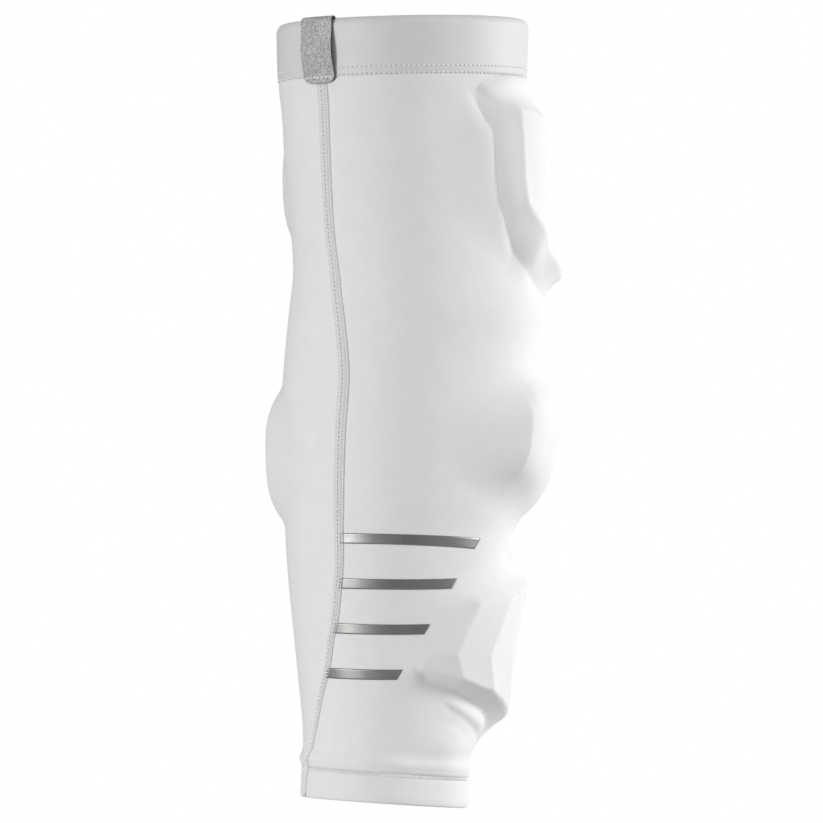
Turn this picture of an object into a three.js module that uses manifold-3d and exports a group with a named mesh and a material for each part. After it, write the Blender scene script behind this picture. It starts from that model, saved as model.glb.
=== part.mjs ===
// A lacrosse arm pad: a white knitted sleeve drawn over three foam pads, with an elastic cuff at the
// top, a folded hem at the foot, one flatlock seam, a ribbon tab and four reflective bars.
// It is shown as worn. Millimetres, +Z up the arm to the shoulder, +Y out at the point of the elbow,
// and the origin in the middle of the arm, level with the elbow.
import * as THREE from "three";
import Module from "manifold-3d";

const wasm = await Module();
wasm.setup();

// Sleeve
const SLEEVE_LENGTH = 373.2; // hem edge to cuff edge, up the middle
const ELBOW_SHARE = 0.4512; // where the elbow lies on that length, from the hem
const CUFF_WIDTH = 120.4;
const CUFF_DEPTH = 114;
const HEM_WIDTH = 79.2;
const HEM_DEPTH = 74;
const FABRIC_WALL = 1.2;
const FIT_GAP = 0.3; // left between pieces that touch

// Cuff and hem
const CUFF_HEIGHT = 27.5;
const CUFF_WALL = 2.4;
const HEM_HEIGHT = 14.5;
const HEM_WALL = 2.2;
const BAND_PROUD = 0.4; // how far the doubled cloth of the cuff and hem stands out
const CUFF_TILT = 1.2; // degrees, the +X side higher
const HEM_TILT = -3.9; // degrees, the +X side lower
const HEM_PITCH = -2.7; // degrees, the back lower than the front

// Foam pads
const UPPER_PAD_THICKNESS = 12.8;
const UPPER_LEDGE_THICKNESS = 4.8;
const UPPER_RIM_THICKNESS = 2.6;
const ELBOW_PAD_THICKNESS = 14.5;
const FOREARM_PAD_THICKNESS = 12.6;
const FOREARM_RIM_THICKNESS = 4.4;
const FOREARM_CHEVRON = 10.5; // degrees that the forearm pad's ridges swing forwards at its knee
const PAD_BACK = 1; // how far a pad's back stands in from the sleeve's own inside

// Seam, bars and tab
const SEAM_WIDTH = 7;
const SEAM_THICKNESS = 0.9;
const BAR_HEIGHT = 5;
const BAR_THICKNESS = 0.4;
const BAR_PITCH = 21.95;
const FIRST_BAR_SHARE = 0.3388;
const BAR_SLANT = 3.2; // how much longer a bar is along its top edge than along its foot
const TAB_WIDTH = 20.5;
const TAB_LENGTH = 30.5;
const TAB_THICKNESS = 0.8;
const TAB_BOW = 1.3; // how far the tab stands off the cuff at mid length
const TAB_CORNER = 4;

// How finely the solids are cut
const DRAPE_COLUMNS = 120;
const DRAPE_ROWS = 124;
const DRAPE_PASSES = 900;
const HOOP_TENSION = 1;
const LENGTH_TENSION = 0.22;
const RIM_RUN = 2.4; // over which a pad's rim falls to the arm

const DEGREE = Math.PI / 180;

// The arm's sections from the hem up. shift and back move the middle, as shares of the cuff's width and
// depth; fill is 0 at the hem's size and 1 at the cuff's.
const SECTIONS = [
  { share: 0.0, shift: -0.1037, back: -0.08, fill: 0.012 },
  { share: 0.0201, shift: -0.0997, back: -0.073, fill: 0.012 },
  { share: 0.0561, shift: -0.0977, back: -0.066, fill: 0.0 },
  { share: 0.078, shift: -0.0857, back: -0.058, fill: 0.07 },
  { share: 0.1037, shift: -0.0777, back: -0.05, fill: 0.14 },
  { share: 0.1295, shift: -0.0738, back: -0.043, fill: 0.21 },
  { share: 0.181, shift: -0.0688, back: -0.032, fill: 0.332 },
  { share: 0.2324, shift: -0.0648, back: -0.018, fill: 0.449 },
  { share: 0.28, shift: -0.0592, back: -0.006, fill: 0.567 },
  { share: 0.3225, shift: -0.0498, back: 0.006, fill: 0.676 },
  { share: 0.3483, shift: -0.0439, back: 0.012, fill: 0.734 },
  { share: 0.3869, shift: -0.0269, back: 0.019, fill: 0.868 },
  { share: 0.4512, shift: -0.009, back: 0.027, fill: 1.019 },
  { share: 0.5155, shift: 0.001, back: 0.027, fill: 1.078 },
  { share: 0.5799, shift: 0.008, back: 0.022, fill: 1.037 },
  { share: 0.6314, shift: 0.0239, back: 0.017, fill: 1.037 },
  { share: 0.6828, shift: 0.0159, back: 0.01, fill: 0.897 },
  { share: 0.76, shift: -0.008, back: 0.0, fill: 0.85 },
  { share: 0.8373, shift: -0.0219, back: -0.006, fill: 0.885 },
  { share: 0.8887, shift: -0.0289, back: -0.01, fill: 0.903 },
  { share: 0.917, shift: -0.0309, back: -0.013, fill: 0.95 },
  { share: 1.0, shift: -0.0299, back: -0.018, fill: 1.002 },
];

// The outlines of the pads, station by station round the arm: where each begins and ends along it.
// Angles are in degrees from +X towards +Y, so -90 is the front.
const UPPER_RIM = [
  { angle: -49.5, top: 0.9094, foot: 0.9034 },
  { angle: -46, top: 0.9134, foot: 0.8844 },
  { angle: -42, top: 0.9164, foot: 0.8574 },
  { angle: -41, top: 0.9174, foot: 0.7954 },
  { angle: -40, top: 0.9174, foot: 0.7704 },
  { angle: -35, top: 0.9204, foot: 0.7324 },
  { angle: -28, top: 0.9204, foot: 0.6954 },
  { angle: -15, top: 0.9174, foot: 0.6674 },
  { angle: 4, top: 0.9124, foot: 0.6504 },
  { angle: 60, top: 0.9154, foot: 0.6384 },
  { angle: 110, top: 0.9134, foot: 0.6474 },
  { angle: 140, top: 0.9064, foot: 0.6774 },
  { angle: 156, top: 0.8804, foot: 0.7104 },
  { angle: 172, top: 0.8034, foot: 0.7474 },
];
const UPPER_LEDGE = [
  { angle: -45.5, top: 0.8934, foot: 0.8854 },
  { angle: -40, top: 0.8954, foot: 0.8404 },
  { angle: -39, top: 0.8954, foot: 0.7804 },
  { angle: -35, top: 0.8954, foot: 0.7474 },
  { angle: -28, top: 0.8934, foot: 0.7134 },
  { angle: -15, top: 0.8864, foot: 0.6834 },
  { angle: 4, top: 0.8794, foot: 0.6624 },
  { angle: 60, top: 0.8854, foot: 0.6504 },
  { angle: 108, top: 0.8834, foot: 0.6614 },
  { angle: 136, top: 0.8774, foot: 0.6924 },
  { angle: 162, top: 0.7974, foot: 0.7504 },
];
const UPPER_FACE = [
  { angle: -37.5, top: 0.8814, foot: 0.8714 },
  { angle: -36.5, top: 0.8814, foot: 0.7614 },
  { angle: -28, top: 0.8784, foot: 0.7374 },
  { angle: -20, top: 0.8754, foot: 0.7134 },
  { angle: -8, top: 0.8714, foot: 0.6874 },
  { angle: 6, top: 0.8664, foot: 0.6704 },
  { angle: 60, top: 0.8694, foot: 0.6634 },
  { angle: 104, top: 0.8684, foot: 0.6734 },
  { angle: 130, top: 0.8614, foot: 0.7054 },
  { angle: 149, top: 0.7934, foot: 0.7554 },
];
const FOREARM_RIM = [
  { angle: -74, top: 0.1794, foot: 0.1734 },
  { angle: -64, top: 0.2154, foot: 0.1649 },
  { angle: -52, top: 0.2574, foot: 0.1544 },
  { angle: -49, top: 0.2684, foot: 0.1524 },
  { angle: -36, top: 0.2674, foot: 0.1434 },
  { angle: -17, top: 0.2754, foot: 0.1294 },
  { angle: 0, top: 0.2974, foot: 0.1074 },
  { angle: 28, top: 0.2974, foot: 0.1014 },
  { angle: 80, top: 0.2934, foot: 0.1054 },
  { angle: 112, top: 0.2794, foot: 0.1234 },
  { angle: 130, top: 0.2234, foot: 0.1654 },
];
// Each dome station's height is a share of the elbow pad's thickness.
const ELBOW_DOME = [
  { angle: -39, top: 0.5354, foot: 0.4034, height: 0.96 },
  { angle: -33, top: 0.5434, foot: 0.3954, height: 0.94 },
  { angle: -20, top: 0.5454, foot: 0.3774, height: 0.82 },
  { angle: 0, top: 0.5494, foot: 0.3594, height: 0.76 },
  { angle: 40, top: 0.5734, foot: 0.3534, height: 0.84 },
  { angle: 78, top: 0.5834, foot: 0.3454, height: 1.0 },
  { angle: 116, top: 0.5704, foot: 0.3514, height: 0.84 },
  { angle: 150, top: 0.5514, foot: 0.3494, height: 0.7 },
  { angle: 166, top: 0.5404, foot: 0.3514, height: 0.62 },
  { angle: 174, top: 0.5304, foot: 0.3534, height: 0.58 },
];
// The forearm pad's ridges, as shares of its thickness, with flat faces between them.
const FOREARM_RIDGES = [
  { angle: -66, height: 0.36 },
  { angle: -47, height: 0.86 },
  { angle: -27, height: 0.96 },
  { angle: -5, height: 1.0 },
  { angle: 18, height: 1.0 },
  { angle: 44, height: 1.0 },
  { angle: 72, height: 1.0 },
  { angle: 100, height: 0.9 },
  { angle: 126, height: 0.4 },
];
const FOREARM_KNEE_SHARE = 0.1934;
const FOREARM_KNEE_REACH = 0.067; // as a share of the sleeve's length, above and below the knee

// Folds of the cloth: a ridge, or a crease where the height is below zero, between two places.
const FOLD_HEIGHT = 2;
const FOLD_WIDTH = 4.4;
const FOLDS = [
  { from: -52, fromShare: 0.1264, to: -4, toShare: 0.0884, height: 1.25, width: 1.0 },
  { from: -64, fromShare: 0.1234, to: 4, toShare: 0.0714, height: -0.7, width: 0.9 },
  { from: -30, fromShare: 0.3204, to: 24, toShare: 0.3264, height: 1.3, width: 0.8 },
];
const HEM_ROLL_HEIGHT = 1.6;
const HEM_ROLL_WIDTH = 4.2;

// The seam's path, from the hem up.
const SEAM_PATH = [
  { share: 0, angle: -161 },
  { share: 0.035, angle: -158 },
  { share: 0.074, angle: -150.8 },
  { share: 0.1, angle: -145.5 },
  { share: 0.1264, angle: -140.6 },
  { share: 0.1688, angle: -132.3 },
  { share: 0.2055, angle: -128.3 },
  { share: 0.232, angle: -124.8 },
  { share: 0.288, angle: -121.4 },
  { share: 0.3234, angle: -121 },
  { share: 0.3947, angle: -122 },
  { share: 0.4686, angle: -122 },
  { share: 0.5419, angle: -121 },
  { share: 0.58, angle: -122.6 },
  { share: 0.6257, angle: -126.6 },
  { share: 0.66, angle: -129.4 },
  { share: 0.7192, angle: -131.7 },
  { share: 0.8588, angle: -130.2 },
  { share: 0.9157, angle: -129.8 },
  { share: 1, angle: -131.4 },
];

// The bars from the top one down: where each ends round the arm, and how far its end hangs lower.
const BARS = [
  { end: -45.8, droop: 2 },
  { end: -57.4, droop: -1.1 },
  { end: -71.7, droop: -1.1 },
  { end: -85.5, droop: -0.9 },
];

// Where the sleeve's mesh has its columns and rows: on the pads' ridges and edges at the front right, and
// even elsewhere.
const RIDGE_COLUMNS = [-82, -74, -66, -56.5, -47, -41, -36.5, -27, -16];
const COLUMN_SPANS = [
  { from: -5, to: 180, steps: 15 },
  { from: 180, to: 270, steps: 8 },
];
const CHEVRON_FADE = 45; // degrees past the last ridges, over which the mesh's columns straighten
const SLEEVE_ROWS = [
  0.0474, 0.0634, 0.0804, 0.0974, 0.1134, 0.1314, 0.1514, 0.1714, 0.1934, 0.2234, 0.2574, 0.2714, 0.2934, 0.3214,
  0.3474, 0.3714, 0.3954, 0.4234, 0.4514, 0.4814, 0.5114, 0.5374, 0.5614, 0.5954, 0.6314, 0.6514, 0.6754, 0.7074,
  0.7374, 0.7614, 0.8054, 0.8474, 0.8714, 0.8834, 0.8974, 0.9154,
];

const mix = (a, b, t) => a + (b - a) * t;
const clamp = (x, low, high) => Math.min(high, Math.max(low, x));
const smooth = (t) => t * t * (3 - 2 * t);
const heightOf = (share) => (share - ELBOW_SHARE) * SLEEVE_LENGTH;
const CUFF_SHARE = 1 - CUFF_HEIGHT / SLEEVE_LENGTH;
const HEM_SHARE = HEM_HEIGHT / SLEEVE_LENGTH;

// The value of a table's column at a key, on a smooth curve through its rows.
function along(table, key, column, at) {
  const last = table.length - 1;
  const x = clamp(at, table[0][key], table[last][key]);
  let i = 0;
  while (i < last - 1 && x > table[i + 1][key]) i++;
  const span = table[i + 1][key] - table[i][key];
  const slope = (a, b) => (table[b][column] - table[a][column]) / (table[b][key] - table[a][key]);
  const before = i > 0 ? slope(i - 1, i + 1) : slope(i, i + 1);
  const after = i + 2 <= last ? slope(i, i + 2) : slope(i, i + 1);
  const t = (x - table[i][key]) / span;
  const rise = smooth(t);
  return (
    mix(table[i][column], table[i + 1][column], rise) +
    span * (before * t * (1 - t) * (1 - t) - after * t * t * (1 - t))
  );
}

// The same on straight lines between the rows.
function between(table, key, column, at) {
  const last = table.length - 1;
  const x = clamp(at, table[0][key], table[last][key]);
  let i = 0;
  while (i < last - 1 && x > table[i + 1][key]) i++;
  return mix(
    table[i][column],
    table[i + 1][column],
    (x - table[i][key]) / (table[i + 1][key] - table[i][key]),
  );
}

// The arm's section at a share of the length: its middle, its two directions and its half sizes.
function section(share) {
  const fill = along(SECTIONS, "share", "fill", share);
  const lean = smooth(clamp(share / ELBOW_SHARE, 0, 1));
  const rise = smooth(clamp((share - ELBOW_SHARE) / (1 - ELBOW_SHARE), 0, 1));
  const tilt = (mix(HEM_TILT, 0, lean) + CUFF_TILT * rise) * DEGREE;
  const pitch = mix(HEM_PITCH, 0, lean) * DEGREE;
  return {
    middle: new THREE.Vector3(
      along(SECTIONS, "share", "shift", share) * CUFF_WIDTH,
      along(SECTIONS, "share", "back", share) * CUFF_DEPTH,
      heightOf(share),
    ),
    right: new THREE.Vector3(Math.cos(tilt), 0, Math.sin(tilt)),
    back: new THREE.Vector3(0, Math.cos(pitch), Math.sin(pitch)),
    halfWidth: mix(HEM_WIDTH, CUFF_WIDTH, fill) / 2,
    halfDepth: mix(HEM_DEPTH, CUFF_DEPTH, fill) / 2,
  };
}

// A point that lies a lift out from the arm's surface, at an angle round it.
function onArm(angle, share, lift) {
  const s = section(share);
  const c = Math.cos(angle * DEGREE);
  const n = Math.sin(angle * DEGREE);
  const out = new THREE.Vector2(c / s.halfWidth, n / s.halfDepth).normalize();
  return s.middle
    .clone()
    .addScaledVector(s.right, s.halfWidth * c + out.x * lift)
    .addScaledVector(s.back, s.halfDepth * n + out.y * lift);
}

// The drape works on the arm unrolled flat: millimetres round it and along it.
const FLAT_PER_DEGREE = ((CUFF_WIDTH + CUFF_DEPTH) / 4) * DEGREE;
const flat = (angle, share) => ({ x: angle * FLAT_PER_DEGREE, y: share * SLEEVE_LENGTH });

function outlineOf(stations) {
  const tops = stations.map((s) => flat(s.angle, s.top));
  const feet = stations.map((s) => flat(s.angle, s.foot));
  return [...tops, ...feet.reverse()];
}

// How far a point lies inside an outline; below zero outside it.
function depthInside(outline, p) {
  let nearest = Infinity;
  let inside = false;
  for (let i = 0, j = outline.length - 1; i < outline.length; j = i++) {
    const a = outline[j];
    const b = outline[i];
    const run = { x: b.x - a.x, y: b.y - a.y };
    const length = run.x * run.x + run.y * run.y;
    const t = clamp(((p.x - a.x) * run.x + (p.y - a.y) * run.y) / length, 0, 1);
    nearest = Math.min(nearest, Math.hypot(p.x - a.x - t * run.x, p.y - a.y - t * run.y));
    if (a.y > p.y !== b.y > p.y && p.x < a.x + ((p.y - a.y) / run.y) * run.x) inside = !inside;
  }
  return inside ? nearest : -nearest;
}

const upperRim = outlineOf(UPPER_RIM);
const upperLedge = outlineOf(UPPER_LEDGE);
const upperFace = outlineOf(UPPER_FACE);
const forearmRim = outlineOf(FOREARM_RIM);

// The upper pad: a rim, a ledge and a raised block, each outline inside the one before.
function upperPadHeight(angle, share) {
  const p = flat(angle, share);
  const rim = depthInside(upperRim, p);
  if (rim <= 0) return UPPER_RIM_THICKNESS * Math.max(0, 1 + rim / RIM_RUN);
  const ledge = depthInside(upperLedge, p);
  if (ledge <= 0) return mix(UPPER_RIM_THICKNESS, UPPER_LEDGE_THICKNESS, rim / (rim - ledge));
  const face = depthInside(upperFace, p);
  if (face <= 0) return mix(UPPER_LEDGE_THICKNESS, UPPER_PAD_THICKNESS, ledge / (ledge - face));
  return UPPER_PAD_THICKNESS;
}

// The elbow pad: a dome that wraps round the back, thick along its two front edges.
function elbowPadHeight(angle, share) {
  const first = ELBOW_DOME[0].angle;
  const last = ELBOW_DOME[ELBOW_DOME.length - 1].angle;
  const past = Math.max(first - angle, angle - last, 0) * FLAT_PER_DEGREE;
  const top = along(ELBOW_DOME, "angle", "top", angle);
  const foot = along(ELBOW_DOME, "angle", "foot", angle);
  const across = (2 * share - top - foot) / (top - foot);
  const dome = Math.max(0, 1 - Math.abs(across) ** 3.4) ** 1.1;
  const rise = along(ELBOW_DOME, "angle", "height", angle) * ELBOW_PAD_THICKNESS * dome;
  return rise * Math.max(0, 1 - past / RIM_RUN);
}

// How far the forearm pad's ridges swing forwards at a share of the length.
const forearmSwing = (share) =>
  FOREARM_CHEVRON * Math.max(0, 1 - Math.abs(share - FOREARM_KNEE_SHARE) / FOREARM_KNEE_REACH);

// The forearm pad: flat faces between ridges that swing forwards to a knee.
function forearmPadHeight(angle, share) {
  const depth = depthInside(forearmRim, flat(angle, share));
  if (depth <= -RIM_RUN) return 0;
  const at = angle + forearmSwing(share);
  const rows = FOREARM_RIDGES;
  let i = 0;
  while (i < rows.length - 2 && at > rows[i + 1].angle) i++;
  const radius = section(share).halfWidth;
  const span = (rows[i + 1].angle - rows[i].angle) * DEGREE;
  const t = clamp((at - rows[i].angle) / (rows[i + 1].angle - rows[i].angle), 0, 1);
  const near = Math.sin((1 - t) * span) / (radius + rows[i].height * FOREARM_PAD_THICKNESS);
  const far = Math.sin(t * span) / (radius + rows[i + 1].height * FOREARM_PAD_THICKNESS);
  const face = Math.sin(span) / (near + far) - radius;
  const rim = Math.min(face, FOREARM_RIM_THICKNESS);
  if (depth <= 0) return rim * (1 + depth / RIM_RUN);
  return Math.min(face, rim + depth * 2.2);
}

const padHeight = (angle, share) =>
  Math.max(
    upperPadHeight(angle, share),
    elbowPadHeight(angle, share),
    forearmPadHeight(angle, share),
  );

// The cloth is drawn tight over the pads: each point of it moves in or out until the pull round the arm
// and the pull along it balance, or it meets a pad or the arm.
function drape() {
  const shares = [];
  for (let j = 0; j <= DRAPE_ROWS; j++) shares.push(mix(HEM_SHARE, CUFF_SHARE, j / DRAPE_ROWS));
  const step = 360 / DRAPE_COLUMNS;
  const rowStep = ((CUFF_SHARE - HEM_SHARE) * SLEEVE_LENGTH) / DRAPE_ROWS;
  const hoopStep = step * FLAT_PER_DEGREE;
  const hoop = HOOP_TENSION / hoopStep ** 2;
  const length = LENGTH_TENSION / rowStep ** 2;
  const total = 2 * (hoop + length);
  const nodes = shares.map((share) => {
    const row = [];
    for (let i = 0; i < DRAPE_COLUMNS; i++) {
      const angle = -90 + i * step;
      const base = onArm(angle, share, 0);
      const out = onArm(angle, share, 1).sub(base);
      const floor = padHeight(angle, share);
      row.push({ base, out, floor, lift: floor, at: base.clone().addScaledVector(out, floor) });
    }
    return row;
  });
  const pull = new THREE.Vector3();
  for (let pass = 0; pass < DRAPE_PASSES; pass++) {
    for (let j = 1; j < DRAPE_ROWS; j++) {
      for (let i = 0; i < DRAPE_COLUMNS; i++) {
        const node = nodes[j][i];
        const left = nodes[j][(i + DRAPE_COLUMNS - 1) % DRAPE_COLUMNS].at;
        const right = nodes[j][(i + 1) % DRAPE_COLUMNS].at;
        pull.set(0, 0, 0);
        pull.addScaledVector(left, hoop).addScaledVector(right, hoop);
        pull.addScaledVector(nodes[j - 1][i].at, length).addScaledVector(nodes[j + 1][i].at, length);
        pull.addScaledVector(node.base, -total);
        node.lift = Math.max(node.floor, pull.dot(node.out) / total, 0);
        node.at.copy(node.base).addScaledVector(node.out, node.lift);
      }
    }
  }
  return nodes.map((row) => row.map((node) => node.lift));
}

const draped = drape();

function drapedLift(angle, share) {
  const turn = (((angle + 90) % 360) + 360) % 360;
  const x = (turn / 360) * DRAPE_COLUMNS;
  const y = clamp((share - HEM_SHARE) / (CUFF_SHARE - HEM_SHARE), 0, 1) * DRAPE_ROWS;
  const i = Math.floor(x) % DRAPE_COLUMNS;
  const j = Math.min(Math.floor(y), DRAPE_ROWS - 1);
  const next = (i + 1) % DRAPE_COLUMNS;
  const low = mix(draped[j][i], draped[j][next], x - Math.floor(x));
  const high = mix(draped[j + 1][i], draped[j + 1][next], x - Math.floor(x));
  return mix(low, high, y - j);
}

function foldLift(angle, share) {
  const turn = angle > 190 ? angle - 360 : angle;
  const p = flat(turn, share);
  let lift = 0;
  for (const fold of FOLDS) {
    const a = flat(fold.from, fold.fromShare);
    const b = flat(fold.to, fold.toShare);
    const run = { x: b.x - a.x, y: b.y - a.y };
    const length = run.x * run.x + run.y * run.y;
    const t = clamp(((p.x - a.x) * run.x + (p.y - a.y) * run.y) / length, 0, 1);
    const away = Math.hypot(p.x - a.x - t * run.x, p.y - a.y - t * run.y);
    const fade = smooth(clamp(4 * t, 0, 1)) * smooth(clamp(4 * (1 - t), 0, 1));
    lift += FOLD_HEIGHT * fold.height * fade * Math.exp(-((away / (FOLD_WIDTH * fold.width)) ** 2));
  }
  const overHem = (share - HEM_SHARE) * SLEEVE_LENGTH - HEM_ROLL_WIDTH;
  return lift + HEM_ROLL_HEIGHT * Math.exp(-((overHem / HEM_ROLL_WIDTH) ** 2) * 2);
}

// The outside of the cloth of the main sleeve.
const sleeveLift = (angle, share) => Math.max(0, drapedLift(angle, share) + foldLift(angle, share));

// A point of a surface given by its lift, moved in or out square to that surface.
function offCloth(lift, angle, share, out) {
  const reach = 1;
  const d = reach / FLAT_PER_DEGREE;
  const e = reach / SLEEVE_LENGTH;
  const low = Math.max(share - e, 0);
  const high = Math.min(share + e, 1);
  const at = onArm(angle, share, lift(angle, share));
  const round = onArm(angle + d, share, lift(angle + d, share)).sub(
    onArm(angle - d, share, lift(angle - d, share)),
  );
  const up = onArm(angle, high, lift(angle, high)).sub(onArm(angle, low, lift(angle, low)));
  return at.addScaledVector(round.cross(up).normalize(), out);
}

// A closed body from a row of closed loops of points: joined end to end, or closed by two end faces.
function loopsBody(loops, joined) {
  const size = loops[0].length;
  const points = loops.flat();
  const faces = [];
  const count = joined ? loops.length : loops.length - 1;
  for (let i = 0; i < count; i++) {
    const next = (i + 1) % loops.length;
    for (let k = 0; k < size; k++) {
      const k2 = (k + 1) % size;
      const [a, b, c, d] = [i * size + k, next * size + k, next * size + k2, i * size + k2];
      faces.push([a, b, c], [a, c, d]);
    }
  }
  if (!joined) {
    for (const [loop, end] of [
      [0, false],
      [loops.length - 1, true],
    ]) {
      const middle = points.length;
      const sum = new THREE.Vector3();
      loops[loop].forEach((p) => sum.add(p));
      points.push(sum.divideScalar(size));
      for (let k = 0; k < size; k++) {
        const [a, b] = [loop * size + k, loop * size + ((k + 1) % size)];
        faces.push(end ? [middle, b, a] : [middle, a, b]);
      }
    }
  }
  return facingOut(points, faces);
}

function facingOut(points, faces) {
  let volume = 0;
  const cross = new THREE.Vector3();
  for (const [a, b, c] of faces) volume += points[a].dot(cross.crossVectors(points[b], points[c]));
  const index = faces.flatMap(([a, b, c]) => (volume > 0 ? [a, b, c] : [a, c, b]));
  const geometry = new THREE.BufferGeometry();
  const xyz = new Float32Array(points.flatMap((p) => [p.x, p.y, p.z]));
  geometry.setAttribute("position", new THREE.BufferAttribute(xyz, 3));
  geometry.setIndex(index);
  geometry.computeVertexNormals();
  return geometry;
}

function toManifold(geometry) {
  return new wasm.Manifold(
    new wasm.Mesh({
      numProp: 3,
      vertProperties: new Float32Array(geometry.getAttribute("position").array),
      triVerts: new Uint32Array(geometry.index.array),
    }),
  );
}

function fromManifold(solid) {
  const mesh = solid.getMesh();
  const geometry = new THREE.BufferGeometry();
  const xyz = new Float32Array(mesh.vertProperties);
  geometry.setAttribute("position", new THREE.BufferAttribute(xyz, 3));
  geometry.setIndex(Array.from(mesh.triVerts));
  geometry.computeVertexNormals();
  return geometry;
}

const columns = [
  ...RIDGE_COLUMNS,
  ...COLUMN_SPANS.flatMap(({ from, to, steps }) =>
    Array.from({ length: steps }, (_, k) => mix(from, to, k / steps)),
  ),
];
const firstRidge = FOREARM_RIDGES[0].angle;
const lastRidge = COLUMN_SPANS[0].from;

// The angle of a column of the mesh at a share of the length: it swings with the forearm pad's ridges.
function columnAngle(angle, share) {
  const turn = angle > 180 ? angle - 360 : angle;
  const past = Math.max(firstRidge - turn, turn - lastRidge, 0);
  return turn - forearmSwing(share) * Math.max(0, 1 - past / CHEVRON_FADE);
}

const widestColumn = Math.max(...COLUMN_SPANS.map(({ from, to, steps }) => (to - from) / steps));
const gapShare = FIT_GAP / SLEEVE_LENGTH;
const CUTTER_STEP = 6; // degrees
const CUTTER_REACH = 30;
const CUTTER_SINK = 8;
const ARM_ROWS = 16;
const SEAM_STEPS = 18;
const SEAM_FOOT_SHARE = 0.002;
const SEAM_TOP_SHARE = 1 - (TAB_LENGTH + FIT_GAP) / SLEEVE_LENGTH;
const BAR_STEPS = 6;
const sleeveRows = [HEM_SHARE + gapShare, ...SLEEVE_ROWS, CUFF_SHARE - gapShare];

// A closed tube between an outer and an inner surface. Each cell is split along the diagonal that stands
// further out, so that all such tubes have the same facets and lie evenly over one another.
function tubeBody(shares, outer, inner) {
  const rows = shares.length;
  const points = [outer, inner].flatMap((place) =>
    columns.flatMap((column) =>
      shares.map((share, row) => place(columnAngle(column, share), share, row)),
    ),
  );
  const wall = columns.length * rows;
  const lifts = columns.flatMap((column) =>
    shares.map((share) => sleeveLift(columnAngle(column, share), share)),
  );
  const faces = [];
  columns.forEach((_, i) => {
    const [near, far] = [i * rows, ((i + 1) % columns.length) * rows];
    for (let j = 0; j < rows - 1; j++) {
      const [a, b, c, d] = [near + j, far + j, far + j + 1, near + j + 1];
      const rising = lifts[a] + lifts[c] >= lifts[b] + lifts[d];
      const halves = rising
        ? [
            [a, b, c],
            [a, c, d],
          ]
        : [
            [a, b, d],
            [b, c, d],
          ];
      for (const [p, q, r] of halves) faces.push([p, q, r], [wall + p, wall + r, wall + q]);
    }
    const [a, b, c, d] = [near, far, far + rows - 1, near + rows - 1];
    faces.push([b, a, wall + a], [b, wall + a, wall + b]);
    faces.push([d, c, wall + c], [d, wall + c, wall + d]);
  });
  return facingOut(points, faces);
}

function sleeveBody() {
  return tubeBody(
    sleeveRows,
    (angle, share) => offCloth(sleeveLift, angle, share, 0),
    (angle, share) => offCloth(sleeveLift, angle, share, -FABRIC_WALL),
  );
}

// A solid core of the arm's own shape, from rows of a share and the place of its ring.
function coreBody(angles, shares, place) {
  return toManifold(
    loopsBody(
      shares.map((share) => angles.map((angle) => place(angle, share))),
      false,
    ),
  );
}

// What lies between the sleeve's inside and the arm: the pads are cut out of it.
function paddingSpace() {
  const outer = -FABRIC_WALL - FIT_GAP;
  const room = toManifold(
    tubeBody(
      sleeveRows,
      (angle, share) => offCloth(sleeveLift, angle, share, outer),
      (angle, share) => onArm(angle, share, -CUTTER_SINK),
    ),
  );
  const angles = columns.filter((_, i) => i % 2 === 0);
  const shares = Array.from({ length: ARM_ROWS + 1 }, (_, k) => k / ARM_ROWS);
  const arm = coreBody(angles, shares, (angle, share) => onArm(angle, share, outer - PAD_BACK));
  return room.subtract(arm);
}

// A block that takes in all that lies under an outline.
function padCutter(stations) {
  const first = stations[0].angle;
  const last = stations[stations.length - 1].angle;
  const steps = Math.ceil((last - first) / CUTTER_STEP);
  const loops = [];
  for (let k = 0; k <= steps; k++) {
    const angle = mix(first, last, k / steps);
    const top = between(stations, "angle", "top", angle);
    const foot = between(stations, "angle", "foot", angle);
    loops.push([
      onArm(angle, foot, -CUTTER_SINK),
      onArm(angle, foot, CUTTER_REACH),
      onArm(angle, top, CUTTER_REACH),
      onArm(angle, top, -CUTTER_SINK),
    ]);
  }
  return toManifold(loopsBody(loops, false));
}

// A band of doubled cloth: its outside, its folded edge and its inside.
function bandBody(edge, sewn, wall) {
  const sign = Math.sign(edge - sewn);
  const round = wall / 2;
  const inset = (round * sign) / SLEEVE_LENGTH;
  const sides = [
    { share: sewn, lift: BAND_PROUD },
    { share: edge - inset, lift: BAND_PROUD },
    { share: edge - inset * 0.3, lift: BAND_PROUD - wall * 0.15 },
    { share: edge, lift: BAND_PROUD - wall * 0.5 },
    { share: edge - inset * 0.3, lift: BAND_PROUD - wall * 0.85 },
    { share: edge - inset, lift: BAND_PROUD - wall },
    { share: sewn, lift: BAND_PROUD - wall },
  ];
  return loopsBody(
    columns.map((angle) => sides.map(({ share, lift }) => onArm(angle, share, lift))),
    true,
  );
}

// The cloth's whole outside, hem and cuff too, as rows of share and lift on the mesh's own columns.
const shellRows = [
  { share: SEAM_FOOT_SHARE / 2, band: true },
  { share: HEM_SHARE / 2, band: true },
  { share: HEM_SHARE - gapShare, band: true },
  { share: HEM_SHARE + gapShare, band: true },
  ...SLEEVE_ROWS.map((share) => ({ share, band: false })),
  { share: CUFF_SHARE - gapShare, band: true },
  { share: CUFF_SHARE + gapShare, band: true },
  { share: mix(CUFF_SHARE, 1, 0.5), band: true },
];

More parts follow.
